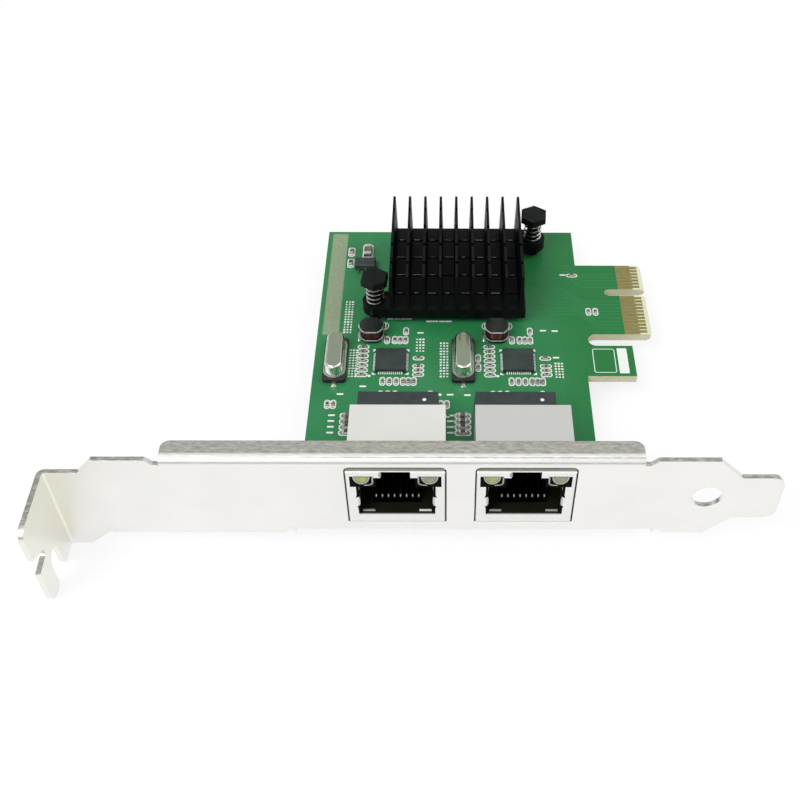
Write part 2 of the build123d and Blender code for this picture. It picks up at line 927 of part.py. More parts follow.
def make_shield(centre):
    left = centre - jack_width / 2
    right = centre + jack_width / 2
    t = shield_thickness
    low = board_top
    high = board_top + jack_height
    can = block(left, right, 0, jack_depth, low, high)
    can -= block(left + t, right - t, t, jack_depth - t, low - 1, high - t)
    front = front_view(centre, 0, board_top) * plug_profile(shield_opening_gap)
    can -= extrude(front, amount=-3 * t)
    for x, side in window_places(centre):
        window = front_view(x, 0, board_top + window_height_centre) * window_profile()
        can -= extrude(window, amount=-3 * t)
    can -= block(left - 1, right + 1, -1, jack_step_depth, low - 1, low + jack_step_height)
    for side in (-1, 1):
        wall = centre + side * jack_width / 2
        finger_low = low + spring_finger_bottom
        finger_end = spring_finger_start + spring_finger_length
        slot = block(
            wall - 1,
            wall + 1,
            spring_finger_start,
            finger_end,
            finger_low,
            finger_low + spring_finger_width,
        )
        tongue = block(
            wall - 2,
            wall + 2,
            spring_finger_start - 1,
            finger_end - spring_finger_gap,
            finger_low + spring_finger_gap,
            finger_low + spring_finger_width - spring_finger_gap,
        )
        can -= slot - tongue
        tail = block(
            min(wall, wall - side * t),
            max(wall, wall - side * t),
            shield_tail_distance - shield_tail_width / 2,
            shield_tail_distance + shield_tail_width / 2,
            low - tail_length,
            low + 1,
        )
        can += tail
    return can


def make_housing(centre):
    gap = shield_thickness + housing_clearance
    left = centre - jack_width / 2 + gap
    right = centre + jack_width / 2 - gap
    low = board_top
    high = board_top + jack_height - gap
    body = block(left, right, gap, jack_depth - gap, low, high)
    cavity = front_view(centre, 0, board_top) * plug_profile(0)
    body -= extrude(cavity, amount=-plug_depth)
    body -= block(left - 1, right + 1, -1, jack_step_depth, low - 1, low + jack_step_height)
    for x, side in window_places(centre):
        pocket = front_view(x, 0, board_top + window_height_centre) * window_profile()
        body -= extrude(pocket, amount=-(window_recess + light_length + light_clearance))
    slot_half = (wire_count * wire_pitch) / 2
    slot_back = tail_row_back + wire_thickness
    body -= block(
        centre - slot_half,
        centre + slot_half,
        wire_front - wire_thickness,
        slot_back,
        low - 1,
        low + plug_floor + wire_slot_rise,
    )
    for side in (-1, 1):
        body += peg(
            centre + side * peg_spacing / 2,
            peg_distance,
            board_top - peg_length,
            board_top + peg_root,
            peg_radius,
        )
    return body


def wire_section(tail_row):
    # One contact wire seen from the side: tail, run under the floor, bend at the front and sprung arm
    t = wire_thickness
    run = wire_run_height
    front = wire_front
    top = wire_rise
    return make_face(Polyline(
        (tail_row + t / 2, -tail_length),
        (tail_row + t / 2, run + t),
        (front + t, run + t),
        (front + t, top - t),
        (wire_back, wire_back_height - t),
        (wire_back, wire_back_height),
        (front + t, top),
        (front, top - t),
        (front, run),
        (tail_row - t / 2, run),
        (tail_row - t / 2, -tail_length),
        close=True,
    ))


def make_wires(centre):
    wires = []
    for index, column in enumerate(tail_columns):
        row = tail_row_front if index % 2 == 0 else tail_row_back
        plane = side_view(centre + column, 0, board_top)
        wires.append(extrude(plane * wire_section(row), amount=wire_width / 2, both=True))
    return wires


def make_light(x):
    window = offset(window_profile(), amount=-light_clearance)
    face = front_view(x, window_recess, board_top + window_height_centre) * window
    return extrude(face, amount=-light_length)


def chip_part(x, y, turned, size, low):
    # Resistor or capacitor along X or turned along Y; the smallest ones are a single body without end caps
    length, width, height = size
    place = Pos(x, y, low + height / 2) * Rot(0, 0, 90 if turned else 0)
    if size == small:
        return place * Box(length, width, height), []
    cap = cap_share * length
    body = Box(length - 2 * cap, width, height)
    caps = []
    for side in (-1, 1):
        caps.append(Pos(side * (length - cap) / 2, 0, 0) * Box(cap, width, height))
    return place * body, [place * end for end in caps]


small = (small_length, small_width, small_height)
medium = (medium_length, medium_width, medium_height)
large = (large_length, large_width, large_height)


def row_of(x, y, pitch_x, pitch_y, count, turned, resistors_to):
    # A straight row of small parts, the first ones resistors and the others capacitors
    parts = []
    for index in range(count):
        parts.append((x + index * pitch_x, y + index * pitch_y, turned, small, index < resistors_to))
    return parts


def channel_parts(x, y):
    # Parts around one LAN chip: two columns and two rows
    left = (x + left_column_shift, y + left_column_first)
    parts = row_of(*left, 0, left_column_pitch, left_column_count, False, 4)
    front = (x + front_row_first, y + front_row_shift)
    parts += row_of(*front, front_row_pitch, 0, front_row_count, True, 1)
    pair = (x + front_pair_first, y + front_row_shift)
    parts += row_of(*pair, front_pair_pitch, 0, 2, True, 1)
    back = (x + back_row_first, y + back_row_shift)
    parts += row_of(*back, back_row_pitch, 0, back_row_count, True, 2)
    parts.append((x + back_single_shift, y + back_row_shift, True, small, False))
    right = (x + right_column_shift, y + right_column_first)
    parts += row_of(*right, 0, right_column_pitch, right_column_count, False, 1)
    parts.append((x + right_column_shift, y + right_single_shift, False, small, True))
    parts.append((x + output_capacitor_shift_x, y + output_capacitor_shift_y, True, small, False))
    behind = (x + inductor_capacitor_shift_x, y + inductor_capacitor_shift_y)
    parts.append((*behind, False, large, True))
    return parts


def jack_side_parts(centre):
    # Medium parts to the left of each transformer, small ones around it
    x = centre + side_column_shift
    parts = []
    for index in range(side_column_count):
        parts.append((x, side_column_y + side_column_pitch * index, False, medium, index < 2))
    parts += row_of(centre + side_pair_shift, side_pair_y, side_pair_pitch, 0, 2, True, 1)
    parts += row_of(centre + light_row_first, light_row_y, light_row_pitch, 0, light_row_count, True, 1)
    parts.append((centre + light_single_shift, light_row_y, True, small, True))
    return parts


def loose_parts():
    parts = row_of(board_right - edge_pair_inset, edge_pair_y, edge_pair_pitch, 0, 2, True, 1)
    parts.append((board_right - edge_single_inset, edge_single_y, False, small, True))
    for index in range(2):
        y = supply_pair_y + supply_pair_pitch * index
        parts.append((supply_pair_x, y, True, medium, index == 0))
    parts.append((storage_capacitor_x, storage_capacitor_y, True, large, False))
    parts += row_of(middle_pair_x, middle_pair_y, 0, middle_pair_pitch, 2, True, 0)
    return parts


def make_chip_parts():
    resistors = []
    capacitors = []
    caps = []
    placed = []
    for x in channel_centres:
        placed += channel_parts(x, chip_y)
    for centre in jack_centres:
        placed += jack_side_parts(centre)
    placed += loose_parts()
    for x, y, turned, size, is_resistor in placed:
        body, ends = chip_part(x, y, turned, size, board_top)
        if is_resistor:
            resistors.append(body)
        else:
            capacitors.append(body)
        caps += ends
    return resistors, capacitors, caps


def make_regulator():
    half_x = regulator_length / 2
    half_y = regulator_width / 2
    low = board_top + chip_standoff
    body = block(
        regulator_x - half_x,
        regulator_x + half_x,
        regulator_y - half_y,
        regulator_y + half_y,
        low,
        low + regulator_height,
    )
    body = chamfer(body.faces().sort_by(Axis.Z)[-1].edges(), regulator_edge)
    grooves = block(
        regulator_x - half_x - 1,
        regulator_x + half_x + 1,
        regulator_y - half_y - 1,
        regulator_y + half_y + 1,
        low - 1,
        board_top + regulator_lead_thickness,
    )
    return body - grooves


def make_regulator_leads():
    leads = []
    high = board_top + regulator_lead_thickness
    front = regulator_y - regulator_width / 2
    back = regulator_y + regulator_width / 2
    half = regulator_lead_width / 2
    for index in range(3):
        x = regulator_x + (index - 1) * regulator_lead_pitch
        leads.append(block(
            x - half,
            x + half,
            front - regulator_lead_reach,
            front + regulator_lead_inset,
            board_top,
            high,
        ))
    half = regulator_tab_width / 2
    leads.append(block(
        regulator_x - half,
        regulator_x + half,
        back - regulator_tab_inset,
        back + regulator_lead_reach,
        board_top,
        high,
    ))
    return leads


save("circuit_board", make_board())
save("edge_contacts", *make_edge_contacts())
save("bracket", make_bracket())
save("bracket_screws", *[make_screw(x) for x in lug_screw_places])
save("heatsink", make_heatsink())
save("push_pins", *[make_push_pin(x, y) for x, y in pin_places])
save("pin_springs", *[make_spring(x, y) for x, y in pin_places])

pad_half = thermal_pad_size / 2
pad_bottom = heatsink_bottom - thermal_pad_thickness
save("thermal_pad", block(
    heatsink_x - pad_half,
    heatsink_x + pad_half,
    heatsink_y - pad_half,
    heatsink_y + pad_half,
    pad_bottom,
    heatsink_bottom,
))
save("switch_chip", square_chip(heatsink_x, heatsink_y, switch_size, switch_height))
save("switch_chip_pads", *square_chip_pads(
    heatsink_x, heatsink_y, switch_size, switch_pads_per_side, switch_pad_pitch))

for number, x in enumerate(channel_centres, start=1):
    save(f"lan_chip_{number}", square_chip(x, chip_y, chip_size, chip_height))
    save(f"lan_chip_pads_{number}", *square_chip_pads(
        x, chip_y, chip_size, chip_pads_per_side, chip_pad_pitch))
    crystal_x = x + crystal_shift_x
    crystal_y = chip_y + crystal_shift_y
    save(f"crystal_base_{number}", make_crystal_base(crystal_x, crystal_y))
    save(f"crystal_can_{number}", make_crystal_can(crystal_x, crystal_y))
    save(f"crystal_leads_{number}", *make_crystal_leads(crystal_x, crystal_y))
    inductor_x = x + inductor_shift_x
    inductor_y = chip_y + inductor_shift_y
    save(f"inductor_core_{number}", make_inductor_core(inductor_x, inductor_y))
    save(f"inductor_winding_{number}", make_inductor_winding(inductor_x, inductor_y))
    save(f"inductor_terminals_{number}", *make_inductor_terminals(inductor_x, inductor_y))

for number, centre in enumerate(jack_centres, start=1):
    save(f"jack_shield_{number}", make_shield(centre))
    save(f"jack_housing_{number}", make_housing(centre))
    save(f"jack_contacts_{number}", *make_wires(centre))
    save(f"transformer_{number}", make_transformer(centre))
    save(f"transformer_leads_{number}", *make_transformer_leads(centre))
save("left_lights", *[make_light(centre - window_offset) for centre in jack_centres])
save("right_lights", *[make_light(centre + window_offset) for centre in jack_centres])

resistor_bodies, capacitor_bodies, end_caps = make_chip_parts()
save("resistors", *resistor_bodies)
save("capacitors", *capacitor_bodies)
save("end_caps", *end_caps)
save("regulator", make_regulator())
save("regulator_leads", *make_regulator_leads())
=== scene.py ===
import json
import math
import random

import bmesh
import bpy
from mathutils import Matrix, Vector


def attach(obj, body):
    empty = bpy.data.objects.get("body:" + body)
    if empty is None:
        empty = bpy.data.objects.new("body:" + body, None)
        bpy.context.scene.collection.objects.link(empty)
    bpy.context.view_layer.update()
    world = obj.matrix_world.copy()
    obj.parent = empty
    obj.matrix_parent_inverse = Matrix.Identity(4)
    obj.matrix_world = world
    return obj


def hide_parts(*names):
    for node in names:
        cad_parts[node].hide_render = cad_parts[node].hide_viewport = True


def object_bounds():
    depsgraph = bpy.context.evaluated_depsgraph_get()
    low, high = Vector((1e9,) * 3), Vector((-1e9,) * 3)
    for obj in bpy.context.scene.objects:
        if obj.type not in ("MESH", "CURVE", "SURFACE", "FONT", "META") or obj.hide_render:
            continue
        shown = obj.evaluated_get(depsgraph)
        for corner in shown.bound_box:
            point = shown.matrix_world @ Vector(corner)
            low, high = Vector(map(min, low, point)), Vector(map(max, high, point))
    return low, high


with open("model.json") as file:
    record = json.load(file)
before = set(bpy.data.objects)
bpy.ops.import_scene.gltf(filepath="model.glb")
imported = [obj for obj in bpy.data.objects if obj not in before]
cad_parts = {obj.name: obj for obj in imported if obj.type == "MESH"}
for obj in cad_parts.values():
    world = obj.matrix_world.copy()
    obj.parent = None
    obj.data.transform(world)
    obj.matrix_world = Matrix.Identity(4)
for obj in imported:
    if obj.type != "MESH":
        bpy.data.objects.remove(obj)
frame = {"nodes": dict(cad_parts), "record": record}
cad_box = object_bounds()

# Places are given as in the CAD while modelling: millimetres, X from the screw tab, Y from the bracket's
# outer face, Z from the bracket's lower edge. The row's origin lies at (JACK_MIDLINE, 0, HALF_WIDTH).
MM = 0.001
FAR = 200
JACK_MIDLINE = 67.53
HALF_WIDTH = 9.21
BOARD_BOTTOM = 0.86
BOARD_TOP = 2.43
SUNK = BOARD_TOP - 0.01
FINGER_EDGE = 105.76
FINGER_TAB = (46.81, 68.01)
CONTACT_LENGTH = 5.2
PALE_BAND = ((40.7, 43.9), (46.5, 78.4))
WHITE_FIELD = (99.2, 39.34)
LUG_SCREWS = ((44.62, 6.4), (89.3, 6.4))
JACK_CENTRES = (57.005, 78.055)
SHADED_SHIELD_EDGES = ((-8.2, -7.95), (7.92, 8.2))
WIRE_PITCH = 1.016
TAIL_ROWS = (10.3, 12.3)
CHIP_CENTRES = ((54.45, 38.85), (78.9, 38.85))
CHIP_SIZE = 5.9
CHIP_HEIGHT = 0.9
CHIP_PITCH = 0.4
LEADS_A_SIDE = 12
CRYSTAL_FROM_CHIP = (-10.55, 0.05)
CRYSTAL_SIZE = (4.1, 10.8, 3.5)
CRYSTAL_BASE = 0.85
INDUCTOR_FROM_CHIP = (-3.95, 7.1)
TRANSFORMER_FROM_JACK = -0.5
TRANSFORMER_Y = 21.7
TRANSFORMER_DEPTH = 7.1
TRANSFORMER_HEIGHT = 6.04
LEAD_PITCH = 1.15
HEATSINK_LEFT = 53.5
HEATSINK_WIDTH = 27.2
HEATSINK_Y = 62.8
HEATSINK_FLOOR = 6.07
FIN_INSET = 0.87
FIN_GAPS = 8
CUT_COUNT = 4
CUT_PITCH = 5.65
CUT_WIDTH = 0.9
PIN_PLACES = ((51.1, 52.75), (83.1, 72.85))
PIN_HEAD = 10.6

# Camera that the photograph was taken with
FRAME_PIXELS = 800
SENSOR_WIDTH = 36.0
FOCAL_PIXELS = 1070.159
PRINCIPAL_POINT = (456.724, 460.0)
CAMERA_PLACE = (65.361, -109.643, 146.054)
CAMERA_YAW = 0.0132574
CAMERA_PITCH = 0.8599013
CAMERA_ROLL = -0.011588

# Lamps: name, place and power
LAMPS = (("key", (-0.45, -0.35, 0.75), 5), ("fill", (0.6, 0.1, 0.6), 1.8))
LAMP_AIM = (0, 0.04, 0)
LAMP_SIZE = 0.5


def place(x, y, z):
    return Vector(((x - JACK_MIDLINE) * MM, y * MM, (z - HALF_WIDTH) * MM))


# Finishes


def new_finish(name, colour, metallic=0.0, roughness=0.5, specular=0.5):
    finish = bpy.data.materials.new(name)
    finish.use_nodes = True
    shader = shader_of(finish)
    shader.inputs["Base Color"].default_value = (*colour, 1)
    shader.inputs["Metallic"].default_value = metallic
    shader.inputs["Roughness"].default_value = roughness
    shader.inputs["Specular IOR Level"].default_value = specular
    return finish


def shader_of(finish):
    return finish.node_tree.nodes["Principled BSDF"]


def add_node(finish, kind, **settings):
    node = finish.node_tree.nodes.new(kind)
    for key, value in settings.items():
        setattr(node, key, value)
    return node


def link(finish, output, entry):
    finish.node_tree.links.new(output, entry)


def feed(finish, value, entry):
    """Puts a number, a colour or another node's output into a socket."""
    if isinstance(value, bpy.types.NodeSocket):
        link(finish, value, entry)
    elif isinstance(value, tuple):
        entry.default_value = (*value, 1)
    else:
        entry.default_value = value


def grain(finish, size, stretch=(1, 1, 1), detail=3.0, rough=0.55):
    """Noise whose features are about size mm, longer along an axis whose stretch is above 1."""
    coordinates = add_node(finish, "ShaderNodeTexCoord")
    mapping = add_node(finish, "ShaderNodeMapping")
    mapping.inputs["Scale"].default_value = [1 / s for s in stretch]
    noise = add_node(finish, "ShaderNodeTexNoise")
    noise.inputs["Scale"].default_value = 1 / (size * MM)
    noise.inputs["Detail"].default_value = detail
    noise.inputs["Roughness"].default_value = rough
    link(finish, coordinates.outputs["Object"], mapping.inputs["Vector"])
    link(finish, mapping.outputs["Vector"], noise.inputs["Vector"])
    return noise.outputs["Fac"]


def spread(finish, value, low, high, from_low=0.35, from_high=0.65):
    span = add_node(finish, "ShaderNodeMapRange", clamp=True)
    span.inputs["From Min"].default_value = from_low
    span.inputs["From Max"].default_value = from_high
    span.inputs["To Min"].default_value = low
    span.inputs["To Max"].default_value = high
    link(finish, value, span.inputs["Value"])
    return span.outputs["Result"]


def compute(finish, operation, first, second=0.0):
    node = add_node(finish, "ShaderNodeMath", operation=operation)
    feed(finish, first, node.inputs[0])
    feed(finish, second, node.inputs[1])
    return node.outputs["Value"]


def mix_colours(finish, factor, first, second):
    mix = add_node(finish, "ShaderNodeMix", data_type="RGBA")
    feed(finish, first, mix.inputs["A"])
    feed(finish, second, mix.inputs["B"])
    feed(finish, factor, mix.inputs["Factor"])
    return mix.outputs["Result"]


def both(finish, first, second):
    """Product of two masks."""
    return compute(finish, "MULTIPLY", first, second)


def cloud(finish, value, first, second, low=0.35, high=0.65):
    """Two colours mixed by a noise value."""
    return mix_colours(finish, spread(finish, value, 0, 1, low, high), first, second)


def axis_of(finish, vector, axis):
    split = add_node(finish, "ShaderNodeSeparateXYZ")
    link(finish, vector, split.inputs["Vector"])
    return split.outputs[axis]


def coordinate(finish, axis, kind="Object"):
    """Place along an axis, in metres and in the row's frame for the Object kind."""
    return axis_of(finish, add_node(finish, "ShaderNodeTexCoord").outputs[kind], axis)


def zone(finish, **spans):
    """1 inside the span of low, high and softness, in CAD mm, along each named axis, and 0 elsewhere."""
    offsets = {"X": JACK_MIDLINE, "Y": 0.0, "Z": HALF_WIDTH}
    mask = 1.0
    for axis, (low, high, *soft) in spans.items():
        value = coordinate(finish, axis)
        low = (low - offsets[axis]) * MM
        high = (high - offsets[axis]) * MM
        softness = (soft[0] if soft else 0.02) * MM
        above = spread(finish, value, 0, 1, low - softness, low + softness)
        below = spread(finish, value, 1, 0, high - softness, high + softness)
        mask = both(finish, mask, both(finish, above, below))
    return mask


def layered(finish, colour, *layers):
    """A colour with others laid over it, each where its own mask is 1."""
    for mask, over in layers:
        colour = mix_colours(finish, mask, colour, over)
    return colour


def facing(finish, axis, least=0.6):
    """1 where the surface faces along the axis, either way, and 0 elsewhere."""
    normal = add_node(finish, "ShaderNodeNewGeometry").outputs["True Normal"]
    size = compute(finish, "ABSOLUTE", axis_of(finish, normal, axis))
    return spread(finish, size, 0, 1, least - 0.02, least + 0.02)


def paint(finish, colour):
    link(finish, colour, shader_of(finish).inputs["Base Color"])


def vary_roughness(finish, value, low, high):
    link(finish, spread(finish, value, low, high), shader_of(finish).inputs["Roughness"])


def relief(finish, value, depth, strength=0.5, edge_radius=0.0):
    """Bump of about depth mm, with the edges of the mesh rounded for the light by edge_radius mm."""
    bump = add_node(finish, "ShaderNodeBump")
    bump.inputs["Distance"].default_value = depth * MM
    bump.inputs["Strength"].default_value = strength
    link(finish, value, bump.inputs["Height"])
    if edge_radius:
        bevel = add_node(finish, "ShaderNodeBevel", samples=4)
        bevel.inputs["Radius"].default_value = edge_radius * MM
        link(finish, bevel.outputs["Normal"], bump.inputs["Normal"])
    link(finish, bump.outputs["Normal"], shader_of(finish).inputs["Normal"])


def make_plated(name, colour, dark, roughness, grain_size, edge=0.0):
    """Plated metal: cloudy tint, fine grain in the gloss and the surface."""
    finish = new_finish(name, colour, metallic=1.0)
    fine = grain(finish, grain_size)
    paint(finish, cloud(finish, grain(finish, 7.0, detail=2.0), dark, colour))
    vary_roughness(finish, fine, roughness - 0.06, roughness + 0.08)
    relief(finish, fine, 0.008, 0.3, edge)
    return finish


def make_moulded(name, colour, light, roughness, specular, surface):
    """Moulded plastic, epoxy or ceramic: fine pitted surface, slightly uneven colour."""
    grain_size, depth, edge = surface
    finish = new_finish(name, colour, specular=specular)
    fine = grain(finish, grain_size, detail=2.0)
    paint(finish, cloud(finish, grain(finish, 2.5, detail=2.0), colour, light))
    vary_roughness(finish, fine, roughness - 0.07, roughness + 0.09)
    relief(finish, fine, depth, 0.5, edge)
    return finish


def make_board_finish():
    """Solder mask over glass laminate, which is bare at the edges and under the contacts, and painted near
    black under each jack as painted shade.
    """
    finish = new_finish("board", (0.03, 0.2, 0.08), roughness=0.3, specular=0.28)
    weave = grain(finish, 0.3, detail=2.0)
    mask = cloud(finish, grain(finish, 9.0, detail=2.0), (0.02, 0.182, 0.058), (0.028, 0.205, 0.074))
    upper = ((BOARD_BOTTOM + BOARD_TOP) / 2, FAR)
    right = both(finish, zone(finish, X=(86, FAR, 7)), 0.9)
    band = zone(finish, X=(*PALE_BAND[0], 0.12), Y=(*PALE_BAND[1], 0.2), Z=upper)
    band = both(finish, band, spread(finish, weave, 0.7, 0.95))
    mask = layered(finish, mask, (right, (0.012, 0.16, 0.036)), (band, (0.29, 0.33, 0.22)))
    for centre in JACK_CENTRES:
        # Painted shade: the board under each jack is painted near black, so the gaps round the jack look
        # dark.
        under = zone(finish, X=(centre - 7.7, centre + 7.7), Y=(0.5, 14.2), Z=upper)
        mask = mix_colours(finish, under, mask, (0.004, 0.01, 0.006))
    laminate = cloud(finish, weave, (0.52, 0.5, 0.34), (0.64, 0.62, 0.45))
    fingers = zone(finish, X=(FINGER_EDGE - CONTACT_LENGTH - 0.15, FAR), Y=(*FINGER_TAB, 0.1))
    olive = zone(finish, X=(0, FINGER_EDGE - 2.3, 0.25))
    under_gold = mix_colours(finish, olive, (0.68, 0.69, 0.5), (0.25, 0.215, 0.08))
    covered = mix_colours(finish, fingers, mask, under_gold)
    paint(finish, mix_colours(finish, facing(finish, "Z"), laminate, covered))
    vary_roughness(finish, weave, 0.26, 0.38)
    relief(finish, weave, 0.006, 0.25, 0.04)
    return finish


def make_bracket_finish():
    """Satin plate: even in front; grainy on the upward flange and painted darker there as painted shade, with
    a painted highlight along the bend; dull on cut edges; a warm painted reflection on the screw tab; painted
    shade on the side walls of the openings.
    """
    finish = new_finish("bracket_steel", (0.9, 0.89, 0.86), metallic=1.0)
    fine = grain(finish, 0.32, (1.8, 1, 1))
    speck = grain(finish, 0.42, (3.4, 1, 1), detail=4.0, rough=0.7)
    plain = cloud(finish, grain(finish, 12.0, detail=2.0), (0.872, 0.866, 0.838), (0.905, 0.897, 0.867))
    # Painted shade: the upward flange is painted a darker speckled grey, standing for the dark it reflects,
    # over its real grain.
    flange = cloud(finish, speck, (0.38, 0.38, 0.335), (0.7, 0.695, 0.63), 0.3, 0.7)
    cut = cloud(finish, speck, (0.36, 0.36, 0.32), (0.74, 0.74, 0.69), 0.4, 0.75)
    # Painted highlight: a near-white band on the upward faces along the top bend.
    bend = zone(finish, Y=(0.9, FAR, 0.03))
    top = layered(finish, cut, (bend, (0.97, 0.965, 0.945)), (zone(finish, Y=(1.62, FAR, 0.14)), flange))
    # Painted reflection: a warm tint on the screw tab, fading out towards the fold.
    tab = zone(finish, X=(-FAR, 3.4, 1.6), Z=(0.2, FAR, 1.0))
    upward = both(finish, facing(finish, "Z", 0.9), zone(finish, Z=(5, FAR, 0.1)))
    # Painted shade: the side walls of the jack openings are painted near black.
    wall_shade = both(finish, facing(finish, "X", 0.7), zone(finish, X=(46, 90)))
    shown = layered(finish, plain, (tab, (0.9, 0.89, 0.81)), (upward, top), (wall_shade, (0.09, 0.09, 0.08)))
    paint(finish, shown)
    roughness = add_node(finish, "ShaderNodeMix")
    feed(finish, upward, roughness.inputs["Factor"])
    feed(finish, spread(finish, fine, 0.28, 0.4), roughness.inputs["A"])
    feed(finish, spread(finish, speck, 0.4, 0.6), roughness.inputs["B"])
    link(finish, roughness.outputs["Result"], shader_of(finish).inputs["Roughness"])
    relief(finish, fine, 0.008, 0.3, 0.14)
    return finish


def make_shield_finish():
    """Bright folded sheet with painted shade: darker on the second jack's top, a little darker on front
    faces, greyer just behind the bracket, and dark on the sides and outer edges where it stands close to the
    bracket.
    """
    finish = new_finish("shield_steel", (0.88, 0.88, 0.85), metallic=0.55)
    fine = grain(finish, 1.2, (4, 1, 1), detail=1.0)
    bright = cloud(finish, grain(finish, 9.0, detail=2.0), (0.815, 0.815, 0.775), (0.845, 0.845, 0.8))
    # Painted shade: the top and bottom faces of the second jack's shield are painted darker.
    second = both(finish, zone(finish, X=(JACK_MIDLINE, FAR)), facing(finish, "Z"))
    # Painted shade: the shield's top just behind the bracket, in the bracket's shadow, painted greyer.
    gap_shade = both(finish, facing(finish, "Z", 0.8), zone(finish, Y=(-FAR, 1.0, 0.1)))
    # Painted shade: the shield's sides near the front, in the gaps beside the bracket, painted near black.
    side = both(finish, facing(finish, "X", 0.7), zone(finish, Y=(-FAR, 1.6, 0.2)))
    shown = layered(
        finish,
        bright,
        (second, (0.655, 0.655, 0.63)),
        # Painted shade: the front faces a little darker than the top.
        (facing(finish, "Y", 0.8), (0.8, 0.8, 0.78)),
        (gap_shade, (0.72, 0.72, 0.64)),
        (side, (0.06, 0.06, 0.05)),
    )
    # Painted shade: dark lines along each shield's outer edges at the front.
    for centre in JACK_CENTRES:
        for low, high in SHADED_SHIELD_EDGES:
            rim = zone(finish, X=(centre + low, centre + high), Y=(-FAR, 0.6))
            shown = mix_colours(finish, rim, shown, (0.12, 0.12, 0.09))
    paint(finish, shown)
    vary_roughness(finish, fine, 0.29, 0.31)
    relief(finish, fine, 0.0004, 0.02, 0.05)
    return finish


def make_can_finish():
    """Drawn can, bright round its shoulders, with its flat top painted a darker greenish grey as a painted
    reflection.
    """
    finish = new_finish("can_nickel", (0.86, 0.86, 0.8), metallic=1.0)
    fine = grain(finish, 0.3, (1, 5, 1), detail=2.0)
    bright = cloud(finish, grain(finish, 4.0, detail=2.0), (0.8, 0.8, 0.74), (0.88, 0.88, 0.82))
    # Painted reflection: faces pointing up are painted darker and greener than the rest of the can.
    paint(finish, mix_colours(finish, facing(finish, "Z", 0.94), bright, (0.4, 0.46, 0.34)))
    vary_roughness(finish, fine, 0.16, 0.22)
    relief(finish, fine, 0.001, 0.1)
    return finish


def make_finger_gold():
    """Worn plate with a dull olive cast."""
    finish = new_finish("gold", (0.3, 0.265, 0.1), metallic=0.45, specular=0.3)
    fine = grain(finish, 0.3, (4, 1, 1))
    paint(finish, cloud(finish, fine, (0.24, 0.21, 0.075), (0.31, 0.275, 0.105)))
    vary_roughness(finish, fine, 0.4, 0.52)
    relief(finish, fine, 0.004, 0.2)
    return finish


def make_contact_gold():
    """Contact wires, painted dark as painted shade, with a painted highlight only along the middle of the
    bend that meets the plug.
    """
    finish = new_finish("wire_gold", (0.3, 0.26, 0.16), metallic=1.0, roughness=0.3)
    # Painted highlight on the middle of each wire's bend; the rest of the wire is painted dark as painted
    # shade.
    bend = zone(finish, Y=(2.0, 3.12, 0.08), Z=(5.5, 6.5, 0.15))
    across = compute(finish, "ABSOLUTE", coordinate(finish, "X"))
    first_wire = (JACK_CENTRES[1] - JACK_MIDLINE - 4 * WIRE_PITCH) * MM
    steps = compute(finish, "DIVIDE", compute(finish, "SUBTRACT", across, first_wire), WIRE_PITCH * MM)
    within = compute(finish, "FRACT", steps)
    off_middle = compute(finish, "ABSOLUTE", compute(finish, "SUBTRACT", within, 0.5))
    glint_stripe = spread(finish, off_middle, 1, 0, 0.05, 0.1)
    paint(finish, mix_colours(finish, both(finish, bend, glint_stripe), (0.02, 0.019, 0.014), (0.42, 0.43, 0.4)))
    vary_roughness(finish, grain(finish, 0.2), 0.25, 0.4)
    return finish


def make_lens(name, colour, deep):
    """Clear tinted plastic, a little cloudy inside."""
    finish = new_finish(name, colour, roughness=0.18)
    shader = shader_of(finish)
    shader.inputs["Transmission Weight"].default_value = 0.35
    shader.inputs["IOR"].default_value = 1.49
    cloudy = grain(finish, 1.4, detail=2.0)
    paint(finish, cloud(finish, cloudy, deep, colour))
    relief(finish, cloudy, 0.02, 0.25, 0.08)
    return finish


def make_print():
    """White ink, a little uneven at its surface."""
    finish = new_finish("print_white", (0.78, 0.8, 0.76))
    fine = grain(finish, 0.15)
    paint(finish, cloud(finish, fine, (0.66, 0.7, 0.64), (0.82, 0.85, 0.8)))
    vary_roughness(finish, fine, 0.42, 0.6)
    return finish


# Plated metals: name, colour, darker colour, roughness, grain size and, for one, the edge radius
PLATED = (
    ("screw_steel", (0.72, 0.71, 0.69), (0.64, 0.63, 0.61), 0.3, 0.15, 0.12),
    ("tin", (0.7, 0.7, 0.67), (0.54, 0.54, 0.52), 0.34, 0.12),
    ("solder", (0.62, 0.62, 0.6), (0.48, 0.48, 0.46), 0.28, 0.4),
    ("spring_wire", (0.66, 0.65, 0.63), (0.5, 0.49, 0.47), 0.2, 0.1),
    ("copper_wire", (0.2, 0.075, 0.05), (0.05, 0.028, 0.024), 0.2, 0.25),
    # Near white for the strip along each shield's top edge, a painted highlight.
    ("rim_highlight", (0.97, 0.97, 0.95), (0.95, 0.95, 0.93), 0.3, 0.5),
)

# Surfaces of plastics and ceramics: grain size, depth and edge radius
MOULDED_SURFACE = (0.12, 0.01, 0.08)
FIRED_SURFACE = (0.06, 0.005, 0.03)
TRIM_SURFACE = (0.1, 0.004, 0.05)

